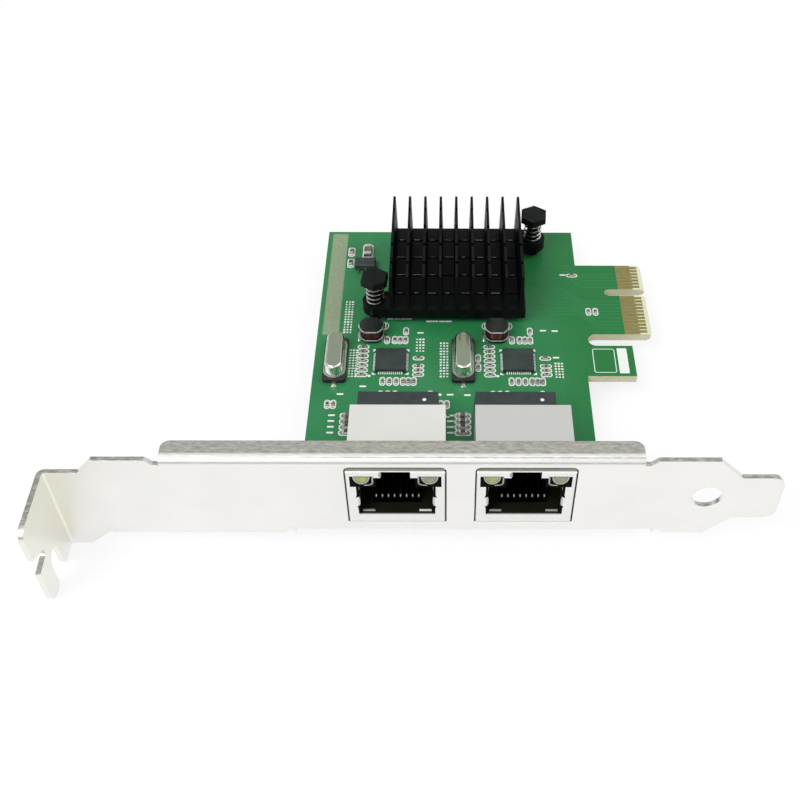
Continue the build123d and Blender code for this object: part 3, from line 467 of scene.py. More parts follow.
# Plastics, ceramics and coats: name, colour, lighter colour, roughness, specular level and surface
MOULDED = (
    ("black_anodised", (0.0022, 0.0034, 0.0028), (0.0042, 0.006, 0.0055), 0.42, 0.12, (0.08, 0.006, 0.05)),
    ("pin_nylon", (0.004, 0.0055, 0.005), (0.007, 0.0085, 0.008), 0.36, 0.12, MOULDED_SURFACE),
    ("thermal_pad", (0.35, 0.37, 0.4), (0.42, 0.44, 0.47), 0.7, 0.5, (0.2, 0.03, 0.08)),
    ("chip_black", (0.018, 0.031, 0.028), (0.028, 0.043, 0.038), 0.42, 0.45, MOULDED_SURFACE),
    ("chip_grey", (0.024, 0.034, 0.031), (0.04, 0.05, 0.047), 0.45, 0.4, MOULDED_SURFACE),
    ("transformer_black", (0.018, 0.027, 0.028), (0.028, 0.038, 0.039), 0.3, 0.5, MOULDED_SURFACE),
    ("base_black", (0.01, 0.011, 0.011), (0.018, 0.019, 0.019), 0.5, 0.5, MOULDED_SURFACE),
    ("ferrite", (0.008, 0.012, 0.01), (0.016, 0.021, 0.018), 0.26, 0.35, (0.1, 0.012, 0.08)),
    # Near black, also used for the plates of painted shade in the jack mouths.
    ("carrier_black", (0.0022, 0.0024, 0.0012), (0.003, 0.0032, 0.002), 0.5, 0.03, MOULDED_SURFACE),
    ("jack_black", (0.01, 0.0105, 0.006), (0.013, 0.0135, 0.008), 0.5, 0.02, MOULDED_SURFACE),
    ("resistor_black", (0.03, 0.036, 0.032), (0.045, 0.052, 0.046), 0.3, 0.5, FIRED_SURFACE),
    ("resistor_white", (0.62, 0.62, 0.58), (0.7, 0.7, 0.66), 0.5, 0.5, FIRED_SURFACE),
    ("capacitor_tan", (0.1, 0.095, 0.065), (0.14, 0.13, 0.095), 0.42, 0.5, FIRED_SURFACE),
    ("trace_green", (0.022, 0.19, 0.062), (0.028, 0.21, 0.07), 0.28, 0.28, (0.3, 0.006, 0.0)),
    ("window_grey", (0.3, 0.31, 0.29), (0.36, 0.37, 0.35), 0.3, 0.5, TRIM_SURFACE),
    ("tab_bright", (0.7, 0.71, 0.68), (0.78, 0.79, 0.76), 0.3, 0.5, TRIM_SURFACE),
    # Lighter grey for the bands round the inductor flanges, a painted highlight.
    ("ferrite_rim_highlight", (0.5, 0.51, 0.48), (0.62, 0.63, 0.6), 0.3, 0.5, (0.1, 0.004, 0.03)),
    # Light grey for the bare saw cuts, brightened as a painted glint.
    ("saw_cut_glint", (0.3, 0.33, 0.34), (0.6, 0.63, 0.64), 0.3, 0.5, (0.1, 0.004, 0.0)),
)

# Clear plastics: name, colour and the colour deeper inside
LENSES = (
    ("light_green", (0.55, 0.62, 0.2), (0.4, 0.46, 0.15)),
    ("light_clear", (0.4, 0.46, 0.27), (0.3, 0.35, 0.21)),
    # Pale tint for the crescents under the lenses, a painted highlight.
    ("light_rim_highlight", (0.62, 0.64, 0.57), (0.54, 0.56, 0.5)),
)

FINISHES = {
    "board": make_board_finish(),
    "bracket_steel": make_bracket_finish(),
    "shield_steel": make_shield_finish(),
    "can_nickel": make_can_finish(),
    "gold": make_finger_gold(),
    "wire_gold": make_contact_gold(),
    "print_white": make_print(),
}
for look in PLATED:
    FINISHES[look[0]] = make_plated(*look)
for look in MOULDED:
    FINISHES[look[0]] = make_moulded(*look)
for look in LENSES:
    FINISHES[look[0]] = make_lens(*look)


def dress_cad():
    """Every CAD node takes the finish of its material slot in the record."""
    for part in frame["record"]["subparts"]:
        obj = frame["nodes"][part["node"]]
        finish = FINISHES[part["material_slot"]]
        if part["node"].startswith("jack_contacts"):
            finish = FINISHES["wire_gold"]
        obj.data.materials.clear()
        obj.data.materials.append(finish)


# Outlines, as lists of (x, y) with the same number of points for the same number of steps


def circle(x, y, radius, steps=24):
    angles = [2 * math.pi * i / steps for i in range(steps)]
    return [(x + radius * math.cos(a), y + radius * math.sin(a)) for a in angles]


def rounded(x, y, width, length, radius, steps=5):
    """Rectangle with rounded corners; a radius of half the smaller side gives a stadium."""
    radius = min(radius, width / 2, length / 2)
    points = []
    for quarter, (side_x, side_y) in enumerate(((1, 1), (-1, 1), (-1, -1), (1, -1))):
        centre_x = x + side_x * (width / 2 - radius)
        centre_y = y + side_y * (length / 2 - radius)
        for step in range(steps + 1):
            angle = math.pi / 2 * (quarter + step / steps)
            points.append((centre_x + radius * math.cos(angle), centre_y + radius * math.sin(angle)))
    return points


def mirrored(middle, side, near, far):
    """Both ends, in rising order, of a span from near to far on one side of a middle."""
    return sorted((middle + side * near, middle + side * far))


class Shape:
    """Points in the CAD's modelling millimetres and the faces between them, gathered into one mesh."""

    def __init__(self):
        self.points = []
        self.faces = []

    def add(self, points, faces):
        first = len(self.points)
        self.points += points
        self.faces += [[first + i for i in face] for face in faces]

    def skin(self, rings, closed=False):
        """Faces through rings of as many points each, with caps or closed back on to the first ring."""
        count = len(rings[0])
        points = [point for ring in rings for point in ring]
        faces = [] if closed else [list(range(count)), list(range(len(points) - count, len(points)))]
        for index in range(len(rings) if closed else len(rings) - 1):
            here = index * count
            after = (index + 1) % len(rings) * count
            for i in range(count):
                j = (i + 1) % count
                faces.append([here + i, here + j, after + j, after + i])
        self.add(points, faces)

    def loft(self, levels, upright=True, closed=False):
        """Skin through outlines at given heights, or at given depths where it isn't upright."""
        rings = []
        for outline, level in levels:
            rings.append([(a, b, level) if upright else (a, level, b) for a, b in outline])
        self.skin(rings, closed)

    def prism(self, outline, low, high, upright=True):
        self.loft([(outline, low), (outline, high)], upright)

    def block(self, x0, x1, y0, y1, z0, z1):
        self.prism([(x0, y0), (x1, y0), (x1, y1), (x0, y1)], z0, z1)

    def band(self, outer, inner, low, high):
        """Ring between two outlines with the same number of points."""
        self.loft([(outer, low), (inner, low), (inner, high), (outer, high)], closed=True)

    def tube(self, path, radius, sides=8):
        """Round wire along a path of points, with caps."""
        rings = []
        for index, point in enumerate(path):
            before = Vector(path[max(index - 1, 0)])
            after = Vector(path[min(index + 1, len(path) - 1)])
            along = (after - before).normalized()
            side = along.cross(Vector((0, 0, 1)))
            side = side.normalized() if side.length > 1e-3 else Vector((1, 0, 0))
            up = side.cross(along)
            ring = [Vector(point) + a * side + b * up for a, b in circle(0, 0, radius, sides)]
            rings.append([tuple(p) for p in ring])
        self.skin(rings)

    def stroke(self, path, width, low, high, upright=True):
        """Flat line of even width along a path of (x, y), with mitred corners."""
        left = []
        right = []
        for index, (x, y) in enumerate(path):
            before = path[max(index - 1, 0)]
            after = path[min(index + 1, len(path) - 1)]
            arrive = Vector((x - before[0], y - before[1])).normalized() if index else None
            leave = Vector((after[0] - x, after[1] - y)).normalized() if index < len(path) - 1 else None
            along = (arrive or leave) + (leave or arrive)
            along.normalize()
            reach = width / 2 / max(along.dot(arrive or leave), 0.5)
            left.append((x - along.y * reach, y + along.x * reach))
            right.append((x + along.y * reach, y - along.x * reach))
        for i in range(len(path) - 1):
            self.prism([left[i], right[i], right[i + 1], left[i + 1]], low, high, upright)


def make_piece(name, shape, finish, smooth=True, bevel=0.0, replaces=None):
    """The shape as an object of the card, with its finish and, where asked, rounded edges."""
    mesh = bpy.data.meshes.new(name)
    mesh.from_pydata([place(*p) for p in shape.points], [], shape.faces)
    edit = bmesh.new()
    edit.from_mesh(mesh)
    bmesh.ops.recalc_face_normals(edit, faces=edit.faces)
    edit.to_mesh(mesh)
    edit.free()
    mesh.materials.append(FINISHES[finish])
    if smooth:
        mesh.polygons.foreach_set("use_smooth", [True] * len(mesh.polygons))
        mesh.set_sharp_from_angle(angle=math.radians(40))
    obj = bpy.data.objects.new(name, mesh)
    bpy.context.scene.collection.objects.link(obj)
    if bevel:
        modifier = obj.modifiers.new("edges", "BEVEL")
        modifier.width = bevel * MM
        modifier.segments = 2
        modifier.limit_method = "ANGLE"
    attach(obj, "root")
    if replaces:
        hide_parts(replaces)


def solids_of(node):
    """Lowest and highest corner of each solid of a CAD node, in modelling millimetres."""
    mesh = frame["nodes"][node].data
    places = [tuple(round(c / MM, 3) for c in vertex.co) for vertex in mesh.vertices]
    parent = {p: p for p in places}

    def root(p):
        while parent[p] != p:
            parent[p] = parent[parent[p]]
            p = parent[p]
        return p

    for polygon in mesh.polygons:
        corners = [places[i] for i in polygon.vertices]
        for other in corners[1:]:
            parent[root(other)] = root(corners[0])
    groups = {}
    for p in parent:
        groups.setdefault(root(p), []).append((p[0] + JACK_MIDLINE, p[1], p[2] + HALF_WIDTH))
    boxes = []
    for group in groups.values():
        low = tuple(min(p[i] for p in group) for i in range(3))
        high = tuple(max(p[i] for p in group) for i in range(3))
        boxes.append((low, high))
    return sorted(boxes)


# Chip resistors and capacitors

CHIP_PART_NODES = ("resistors", "capacitors")
PAD_TOP = BOARD_TOP + 0.03
CAP_SHARE = 0.24


def pad_reach(length):
    """How far a pad reaches past the end of a chip part of this length."""
    return 0.3 * length ** 0.5


def chip_places(node):
    """Middle, length, width, height and direction of each resistor or capacitor, end caps included."""
    caps = [((a[0] + b[0]) / 2, (a[1] + b[1]) / 2) for a, b in solids_of("end_caps")]
    parts = []
    for low, high in solids_of(node):
        x = (low[0] + high[0]) / 2
        y = (low[1] + high[1]) / 2
        size_x = high[0] - low[0]
        size_y = high[1] - low[1]
        height = high[2] - low[2]
        near = [c for c in caps if abs(c[0] - x) + abs(c[1] - y) < 1.4 * max(size_x, size_y)]
        if height < 0.5 or not near:
            turned = size_y > size_x
            length = max(size_x, size_y)
            width = min(size_x, size_y)
        else:
            turned = abs(near[0][1] - y) > abs(near[0][0] - x)
            length = (size_y if turned else size_x) / (1 - 2 * CAP_SHARE)
            width = size_x if turned else size_y
        parts.append((x, y, length, width, height, turned))
    return parts


def turned_block(shape, spot, along, across, low, high):
    """Block given along and across the length of a part at a spot of x, y and turned or not."""
    x, y, turned = spot
    if turned:
        along, across = across, along
    shape.block(x + along[0], x + along[1], y + across[0], y + across[1], low, high)


def add_fillet(shape, spot, side, start, reach, half_width, height):
    """Solder that climbs from its pad to an end cap, hollow in the middle."""
    x, y, turned = spot
    profile = [(0, 0), (reach, 0), (0.45 * reach, 0.3 * height), (0.12 * reach, 0.75 * height), (0, height)]
    points = []
    for half in (-half_width, half_width):
        for out, up in profile:
            along = side * (start + out)
            if turned:
                points.append((x + half, y + along, PAD_TOP + up))
            else:
                points.append((x + along, y + half, PAD_TOP + up))
    count = len(profile)
    faces = [list(range(count)), list(range(count, 2 * count))]
    faces += [[i, (i + 1) % count, count + (i + 1) % count, count + i] for i in range(count)]
    shape.add(points, faces)


def dress_chip_parts():
    """Bodies, end caps, pads and solder of the chip resistors and capacitors."""
    coats = Shape()
    ceramics = Shape()
    tans = Shape()
    ends = Shape()
    solder = Shape()
    pads = Shape()
    for node in CHIP_PART_NODES:
        for x, y, length, width, height, turned in chip_places(node):
            spot = (x, y, turned)
            top = BOARD_TOP + height
            half = width / 2
            inner = length / 2 - CAP_SHARE * length
            body = (-inner - 0.02, inner + 0.02)
            slim = (-half + 0.01, half - 0.01)
            if node == "resistors":
                turned_block(ceramics, spot, body, slim, PAD_TOP, top - 0.04)
                turned_block(coats, spot, body, (-half + 0.04, half - 0.04), top - 0.05, top)
            else:
                turned_block(tans, spot, body, slim, PAD_TOP, top - 0.01)
            for side in (-1, 1):
                cap = mirrored(0, side, inner, length / 2)
                turned_block(ends, spot, cap, (-half, half), PAD_TOP, top + 0.01)
                pad = mirrored(0, side, inner - 0.05, length / 2 + pad_reach(length))
                turned_block(pads, spot, pad, (-half - 0.06, half + 0.06), SUNK, PAD_TOP)
                add_fillet(solder, spot, side, length / 2 - 0.01, 0.22 * length ** 0.5, half, 0.7 * height)
    make_piece("resistor_ceramics", ceramics, "resistor_white", bevel=0.02)
    make_piece("resistor_coats", coats, "resistor_black", bevel=0.02, replaces="resistors")
    make_piece("capacitor_bodies", tans, "capacitor_tan", bevel=0.04, replaces="capacitors")
    make_piece("chip_part_ends", ends, "tin", bevel=0.04, replaces="end_caps")
    make_piece("chip_part_solder", solder, "solder")
    make_piece("chip_part_pads", pads, "solder", smooth=False)


# Chips, transformers, crystals and inductors

# Middle line of a transformer's lead, as distance out from the wall and height above the board
LEAD_LINE = (
    (-0.05, 1.85), (0.42, 1.85), (0.55, 1.78), (0.62, 1.6),
    (0.66, 0.4), (0.72, 0.2), (0.85, 0.1), (1.45, 0.1),
)
LEAD_HALF_WIDTH = 0.22
LEAD_HALF_THICKNESS = 0.1

# Rolled brim of a crystal's can, as distance in from its outline and height above its base
BRIM = ((0, 0), (-0.04, 0.06), (-0.04, 0.3), (0.02, 0.38), (0.3, 0.42), (0.36, 0.5))
CAN_ROUNDING = 0.55

WINDING_LAYERS = 9
WINDING_RADIUS = 1.72
WINDING_STEPS = 28


def dress_lan_chips():
    """Leads on four sides, each a foot on the board and a run up the wall, and a ring on the first corner."""
    marks = Shape()
    wall = CHIP_SIZE / 2
    for number, (x, y) in enumerate(CHIP_CENTRES, start=1):
        leads = Shape()
        for index in range(LEADS_A_SIDE):
            along = (index - (LEADS_A_SIDE - 1) / 2) * CHIP_PITCH
            for side in (-1, 1):
                foot = (mirrored(0, side, wall - 0.4, wall + 0.42), 0.12, 0, 0.05)
                rise = (mirrored(0, side, wall, wall + 0.07), 0.1, 0.04, 0.3)
                for out, half, low, high in (foot, rise):
                    across = (along - half, along + half)
                    for turned in (False, True):
                        spot = (x, y, turned)
                        turned_block(leads, spot, out, across, BOARD_TOP + low, BOARD_TOP + high)
        pads = f"lan_chip_pads_{number}"
        make_piece(f"lan_chip_leads_{number}", leads, "tab_bright", bevel=0.02, replaces=pads)
        top = BOARD_TOP + CHIP_HEIGHT
        marks.band(circle(x - 2.2, y - 1.9, 0.28), circle(x - 2.2, y - 1.9, 0.22), top - 0.02, top + 0.01)
    make_piece("chip_marks", marks, "chip_grey")


def dress_transformers():
    """Gull-wing leads with a rounded shoulder, and the dot that marks the first one."""
    dots = Shape()
    for number, centre in enumerate(JACK_CENTRES, start=1):
        leads = Shape()
        x = centre + TRANSFORMER_FROM_JACK
        for index in range(LEADS_A_SIDE):
            along = x + (index - (LEADS_A_SIDE - 1) / 2) * LEAD_PITCH
            for side in (-1, 1):
                wall = TRANSFORMER_Y + side * TRANSFORMER_DEPTH / 2
                for start, end in zip(LEAD_LINE, LEAD_LINE[1:]):
                    add_lead_run(leads, along, wall, side, start, end)
        made = f"transformer_leads_{number}"
        make_piece(f"transformer_wings_{number}", leads, "tin", replaces=made)
        top = BOARD_TOP + TRANSFORMER_HEIGHT
        dots.prism(circle(x + 4.72, TRANSFORMER_Y + 1.3, 0.35), top, top + 0.025)
    make_piece("transformer_dots", dots, "print_white")


def add_lead_run(shape, x, wall, side, start, end):
    """One straight run of a bent lead, a little longer than given so that the runs join."""
    along = Vector((end[0] - start[0], end[1] - start[1])).normalized()
    out = Vector((-along.y, along.x)) * LEAD_HALF_THICKNESS
    grow = along * 0.04
    start = Vector(start) - grow
    end = Vector(end) + grow
    points = []
    for half in (-LEAD_HALF_WIDTH, LEAD_HALF_WIDTH):
        for a, b in (start + out, end + out, end - out, start - out):
            points.append((x + half, wall + side * a, BOARD_TOP + b))
    faces = [[0, 1, 2, 3], [4, 5, 6, 7], [0, 1, 5, 4], [1, 2, 6, 5], [2, 3, 7, 6], [3, 0, 4, 7]]
    shape.add(points, faces)


def can_outline(x, y, inset):
    return rounded(x, y, CRYSTAL_SIZE[0] - 2 * inset, CRYSTAL_SIZE[1] - 2 * inset, 3, 8)


def dress_crystals():
    """Drawn can with a rounded top and a rolled brim."""
    for number, (chip_x, chip_y) in enumerate(CHIP_CENTRES, start=1):
        x = chip_x + CRYSTAL_FROM_CHIP[0]
        y = chip_y + CRYSTAL_FROM_CHIP[1]
        low = BOARD_TOP + CRYSTAL_BASE
        straight = CRYSTAL_SIZE[2] - CRYSTAL_BASE - CAN_ROUNDING
        levels = [(can_outline(x, y, inset), low + height) for inset, height in BRIM]
        for step in range(7):
            angle = math.pi / 2 * step / 6
            inset = BRIM[-1][0] + CAN_ROUNDING * (1 - math.cos(angle))
            levels.append((can_outline(x, y, inset), low + straight + CAN_ROUNDING * math.sin(angle)))
        can = Shape()
        can.loft(levels)
        made = f"crystal_can_{number}"
        make_piece(f"crystal_shell_{number}", can, "can_nickel", replaces=made)


def dress_inductors():
    """Turns of enamelled wire between the flanges, and lighter grey bands round the core's flanges as painted
    highlights on their edges.
    """
    rims = Shape()
    for number, (chip_x, chip_y) in enumerate(CHIP_CENTRES, start=1):
        x = chip_x + INDUCTOR_FROM_CHIP[0]
        y = chip_y + INDUCTOR_FROM_CHIP[1]
        turns = Shape()
        ring = circle(x, y, WINDING_RADIUS, WINDING_STEPS)
        for layer in range(WINDING_LAYERS):
            z = BOARD_TOP + 1.03 + layer * 0.178
            turns.tube([(a, b, z) for a, b in ring + ring[:1]], 0.1, 6)
        turns.prism(circle(x, y, WINDING_RADIUS - 0.06, WINDING_STEPS), BOARD_TOP + 0.95, BOARD_TOP + 2.5)
        made = f"inductor_winding_{number}"
        make_piece(f"inductor_turns_{number}", turns, "copper_wire", replaces=made)
        # Painted highlight: a lighter band round the edge of each flange.
        for low, high in ((0.66, 0.88), (2.72, 3.06)):
            outer = flanged(x, y, 2.33, 2.02)
            inner = flanged(x, y, 2.2, 1.9)
            rims.band(outer, inner, BOARD_TOP + low, BOARD_TOP + high)
    make_piece("inductor_rim_highlights", rims, "ferrite_rim_highlight")


def flanged(x, y, radius, half_width, steps=40):
    """Circle cut flat at front and back."""
    return [(a, max(y - half_width, min(y + half_width, b))) for a, b in circle(x, y, radius, steps)]


# Heat sink, pins and springs


def dress_springs():
    """A coil of round wire round each pin, closed at both ends."""
    turns = 5.2
    closed_share = 0.12
    steps = 140
    coils = Shape()
    low = HEATSINK_FLOOR + 0.18
    high = PIN_HEAD - 0.18
    for x, y in PIN_PLACES:
        path = []
        for step in range(steps + 1):
            share = step / steps
            rise = min(1, max(0, (share - closed_share) / (1 - 2 * closed_share)))
            angle = 2 * math.pi * turns * share
            path.append((x + 1.65 * math.cos(angle), y + 1.65 * math.sin(angle), low + (high - low) * rise))
        coils.tube(path, 0.17, 8)
    make_piece("pin_coils", coils, "spring_wire", replaces="pin_springs")


def dress_heatsink():
    """Bright saw cuts across the floor: bare metal where the black coat is broken, made brighter as painted
    glints.
    """
    rng = random.Random(4)
    cuts = Shape()
    pitch = (HEATSINK_WIDTH - 2 * FIN_INSET) / FIN_GAPS
    for row in range(CUT_COUNT):
        y = HEATSINK_Y + (row - (CUT_COUNT - 1) / 2) * CUT_PITCH + CUT_WIDTH / 2
        for gap in range(FIN_GAPS):
            x = HEATSINK_LEFT + FIN_INSET + (gap + 0.5) * pitch
            half = rng.uniform(0.35, 1.0) * 0.95
            x += rng.uniform(-0.25, 0.25)
            thick = rng.uniform(0.06, 0.12)
            if rng.random() < 0.12:
                continue
            # Each strip is bare cut metal and a painted glint on its edge.
            cuts.block(x - half, x + half, y - 0.02, y + thick, HEATSINK_FLOOR - 0.05, HEATSINK_FLOOR + 0.012)
    make_piece("heatsink_saw_cut_glints", cuts, "saw_cut_glint", smooth=False)


# Print, copper and solder on the board

INK_TOP = BOARD_TOP + 0.02
INK_LINE = 0.15

# Bare bars where small labels stand
SMALL_MARKS = (
    (53.94, 51.18), (55.36, 51.18), (56.47, 51.18), (57.57, 51.18), (61.71, 50.46), (62.82, 50.46),
    (64.23, 50.46), (65.54, 50.46), (60.0, 47.09), (49.41, 32.26), (45.27, 30.22), (65.85, 30.11),
    (69.07, 30.01), (44.06, 24.8), (44.06, 23.37), (44.06, 21.93), (44.06, 20.5), (65.85, 24.8),
    (65.85, 23.37), (65.85, 21.93), (65.85, 20.5), (84.2, 47.8), (86.52, 47.7), (86.32, 40.13),
    (89.24, 64.88),
)

# Columns of small marks: x, lowest y and highest y
MARK_LADDERS = (
    (47.2, 34.9, 42.1), (45.57, 47.2, 56.2), (60.0, 41.9, 45.2), (64.68, 34.9, 44.1), (86.7, 34.8, 38.5),
)
RUNG_PITCH = 0.75
RUNG_COLUMNS = (-0.62, 0.0, 0.62)


def print_area(ink, outline):
    ink.prism(outline, SUNK, INK_TOP)


def print_frame(ink, x, y, width, length, radius, line=INK_LINE):
    """Rounded frame with a line of even width inside the given outline."""
    outer = rounded(x, y, width, length, radius)
    inner = rounded(x, y, width - 2 * line, length - 2 * line, radius - line)
    ink.band(outer, inner, SUNK, INK_TOP)


def print_round_parts(ink):
    """A rounded frame round every chip resistor and capacitor."""
    line = 0.22
    for node in CHIP_PART_NODES:
        for x, y, length, width, height, turned in chip_places(node):
            size = (length + pad_reach(length) * 2 + 0.5, width + 0.42)
            if turned:
                size = (size[1], size[0])
            print_frame(ink, x, y, size[0] + line, size[1] + line, 0.6, line)


def print_round_chips(ink):
    """Filled corners and a dot round every LAN chip, and a stadium behind it."""
    half = CHIP_SIZE / 2 + 0.55
    arm = 0.75
    for x, y in CHIP_CENTRES:
        for side_x in (-1, 1):
            for side_y in (-1, 1):
                corner_x = x + side_x * half
                corner_y = y + side_y * half
                arms = ((corner_x - side_x * arm, corner_y), (corner_x, corner_y - side_y * arm))
                print_area(ink, [arms[0], (corner_x, corner_y), arms[1]])
        print_area(ink, circle(x - half - 0.5, y - half - 0.3, 0.3))
        print_frame(ink, x - 3.75, 49.07, 6.1, 2.3, 1.1)


def print_labels(ink):
    """Bars, ladders of small marks and the marks behind the jacks, all without letters."""
    for x, y in SMALL_MARKS:
        print_area(ink, rounded(x, y, 1.25, 0.42, 0.12))
    rng = random.Random(7)
    for x, start, end in MARK_LADDERS:
        rungs = round((end - start) / RUNG_PITCH)
        for rung in range(rungs + 1):
            y = start + (end - start) * rung / rungs
            for column in RUNG_COLUMNS:
                width = rng.uniform(0.3, 0.5)
                length = rng.uniform(0.3, 0.48)
                print_area(ink, rounded(x + column, y, width, length, 0.1))
    for centre in JACK_CENTRES:
        for shift in (-5.6, -0.4, 0.9, 2.2, 3.4, 6.8):
            print_area(ink, rounded(centre + shift, 30.1, rng.uniform(0.7, 1.0), 0.6, 0.2))


def print_round_jacks(ink):
    """A line round three sides of every jack, a dot behind it, and a ring round each lug screw."""
    side = 8.3
    front = 4
    back = 15.0
    for centre in JACK_CENTRES:
        path = [(centre - side, front), (centre - side, back), (centre + side, back), (centre + side, front)]
        ink.stroke(path, 0.2, SUNK, INK_TOP)
        print_area(ink, circle(centre + 8.4, 24.6, 0.4))
    for x, y in LUG_SCREWS:
        ink.band(circle(x, y, 3.5, 40), circle(x, y, 3.25, 40), SUNK, INK_TOP)


def dress_print():
    """All ink on the board, with the white field and the empty frame on the retention tab."""
    ink = Shape()
    print_round_parts(ink)
    print_round_chips(ink)
    print_labels(ink)
    print_round_jacks(ink)
    field_x, field_y = WHITE_FIELD
    print_area(ink, rounded(field_x, field_y, 1.9, 6.9, 0.15))
    print_frame(ink, field_x - 3.6, field_y, 4.3, 6.6, 0.5)
    make_piece("board_print", ink, "print_white", smooth=False)


LINE_TOP = BOARD_TOP + 0.012

# Fields of plated holes: how many, and their spans in x and y
VIA_FIELDS = (
    (46, (41, 90.5), (27.6, 34.5)),
    (30, (84.8, 90.6), (47.5, 77.5)),
    (26, (45.5, 52.5), (56.5, 78)),
)


def trace_fan(shape, starts, ends, bend_share, width=0.2):
    """Lines from a row of starts to a row of ends, straight, slanted and straight again."""
    for (x0, y0), (x1, y1) in zip(starts, ends):
        first = y0 + (y1 - y0) * bend_share
        slant = min(abs(x1 - x0), abs(y1 - first))
        second = first + math.copysign(slant, y1 - y0)
        shape.stroke([(x0, y0), (x0, first), (x1, second), (x1, y1)], width, SUNK, LINE_TOP)


def dress_lines():
    """Copper lines under the solder mask."""
    lines = Shape()
    first_lead = -(LEADS_A_SIDE - 1) / 2 * CHIP_PITCH
    edge = CHIP_SIZE / 2 + 0.35
    for x, y in CHIP_CENTRES:
        starts = [(x + first_lead + CHIP_PITCH * i, y - edge) for i in range(8)]
        ends = [(x - 3.2 + LEAD_PITCH * i, 26.8) for i in range(8)]
        trace_fan(lines, starts, ends, 0.35)
        starts = [(x + first_lead + CHIP_PITCH * i, y + edge) for i in range(6)]
        ends = [(x - 0.5 + 0.45 * i, 49.6) for i in range(6)]
        trace_fan(lines, starts, ends, 0.45, 0.15)
    paths = []
    contacts = FINGER_EDGE - 5.6
    for i in range(9):
        y = 48.6 + i
        bend = 91.5 - 0.35 * i
        paths.append((0.22, [(contacts, y), (bend + 4, y), (bend, y + 4), (81.6, y + 4)]))
    for i in range(5):
        y = 61.0 + i
        paths.append((0.22, [(contacts, y), (93.0, y), (90.0, y + 3), (85.5, y + 3)]))
    for i in range(6):
        x = 84.6 + 0.55 * i
        paths.append((0.18, [(x, 15.5), (x, 44.0), (x - 1.5, 45.5), (x - 1.5, 50.0 + 0.5 * i)]))
    for width, path in paths:
        lines.stroke(path, width, SUNK, LINE_TOP)
    make_piece("board_lines", lines, "trace_green", smooth=False)


def dress_vias():
    """Plated holes, clear of the chip parts and of each other."""
    vias = Shape()
    rng = random.Random(11)
    spots = [(40.9, 33.0 + 2.4 * i) for i in range(6)]
    for count, span_x, span_y in VIA_FIELDS:
        for _ in range(count):
            spots.append((rng.uniform(*span_x), rng.uniform(*span_y)))
    taken = []
    for node in CHIP_PART_NODES:
        taken += [(p[0], p[1], 1.3) for p in chip_places(node)]
    for x, y in spots:
        if any(math.hypot(x - a, y - b) < r for a, b, r in taken):
            continue
        taken.append((x, y, 0.8))
        vias.band(circle(x, y, 0.3, 14), circle(x, y, 0.13, 14), SUNK, BOARD_TOP + 0.018)
    make_piece("board_vias", vias, "trace_green")


def add_mound(joints, x, y, shares, radius, steps):
    """Solder on the board that narrows upward; the shares of each width give its sizes in x and y."""
    joints.loft([(rounded(x, y, shares[0] * w, shares[1] * w, radius), BOARD_TOP + h) for w, h in steps])


def dress_solder():
    """Joints of the jack tails under the board, and of crystals and inductors on top of it."""
    joints = Shape()
    cone = ((0.62, 0.0), (0.5, 0.08), (0.36, 0.3), (0.27, 0.62), (0.12, 0.74))
    for low, high in solids_of("jack_contacts_1") + solids_of("jack_contacts_2"):
        x = (low[0] + high[0]) / 2
        y = TAIL_ROWS[0] if high[1] < 11 else TAIL_ROWS[1]
        joints.loft([(circle(x, y, radius, 14), BOARD_BOTTOM - drop) for radius, drop in cone])
    for chip_x, chip_y in CHIP_CENTRES:
        for side in (-1, 1):
            x = chip_x + CRYSTAL_FROM_CHIP[0]
            y = chip_y + CRYSTAL_FROM_CHIP[1] + side * 6.4
            add_mound(joints, x, y, (1, 0.8), 0.4, ((1.1, 0.0), (0.9, 0.1), (0.6, 0.26), (0.35, 0.32)))
            x = chip_x + INDUCTOR_FROM_CHIP[0] + side * 2.45
            y = chip_y + INDUCTOR_FROM_CHIP[1]
            add_mound(joints, x, y, (0.25, 1), 0.3, ((2.6, 0.0), (2.3, 0.12), (2.0, 0.24)))
    make_piece("board_solder", joints, "solder")


# Jacks

LIGHT_SHIFT = 5.5
LIGHT_TOP = BOARD_TOP + 12.15

# Outlines in a jack's mouth, as distance from its middle and height above the board
# The first three outlines are near-black plates of painted shade: the window pocket round each light and the
# shield's notches beside the side spring.
SHADE_PLATE_OUTLINES = (
    ((3.2, 9.6), (7.4, 9.6), (7.4, 12.18), (3.62, 12.18), (3.62, 11.8), (3.2, 11.8)),
    ((6.1, 7.05), (6.62, 6.75), (6.45, 7.5), (6.45, 9.7), (6.1, 9.7)),
    ((6.1, 2.58), (6.34, 2.58), (6.36, 3.9), (6.48, 4.55), (6.1, 4.7)),
)
LIP_LINE = ((3.7, 12.1), (3.7, 10.65), (3.84, 10.33), (4.2, 10.12), (5.1, 10.03))
SIDE_SPRING = ((6.3, 7.05), (6.02, 6.9), (5.94, 6.4), (5.94, 5.3), (6.02, 4.85), (6.3, 4.7))
TOP_EDGE = ((-8, 13), (-2.4, 13), (-2.4, 13.3), (2.4, 13.3), (2.4, 13), (8, 13), (8, 13.5), (-8, 13.5))
LATCH_LIP = ((-2.72, 12.1), (-2.27, 12.1), (-2.27, 13.15), (-2.72, 13.15))


def half_disc(x, top, width, height, steps=18):
    """Outline of a light window seen from the front: flat above, round below."""
    points = []
    for step in range(steps + 1):
        angle = math.pi + math.pi * step / steps
        points.append((x + width / 2 * math.cos(angle), top + height * math.sin(angle)))
    return points


def crescent(x, top, width, height, thickness, steps=18):
    """Outline of the pale crescent that follows the round side of a light window, drawn as a painted
    highlight.
    """
    outer = half_disc(x, top, width, height, steps)
    inner = half_disc(x, top, width - 2 * thickness, height - thickness, steps)
    return outer + inner[::-1]


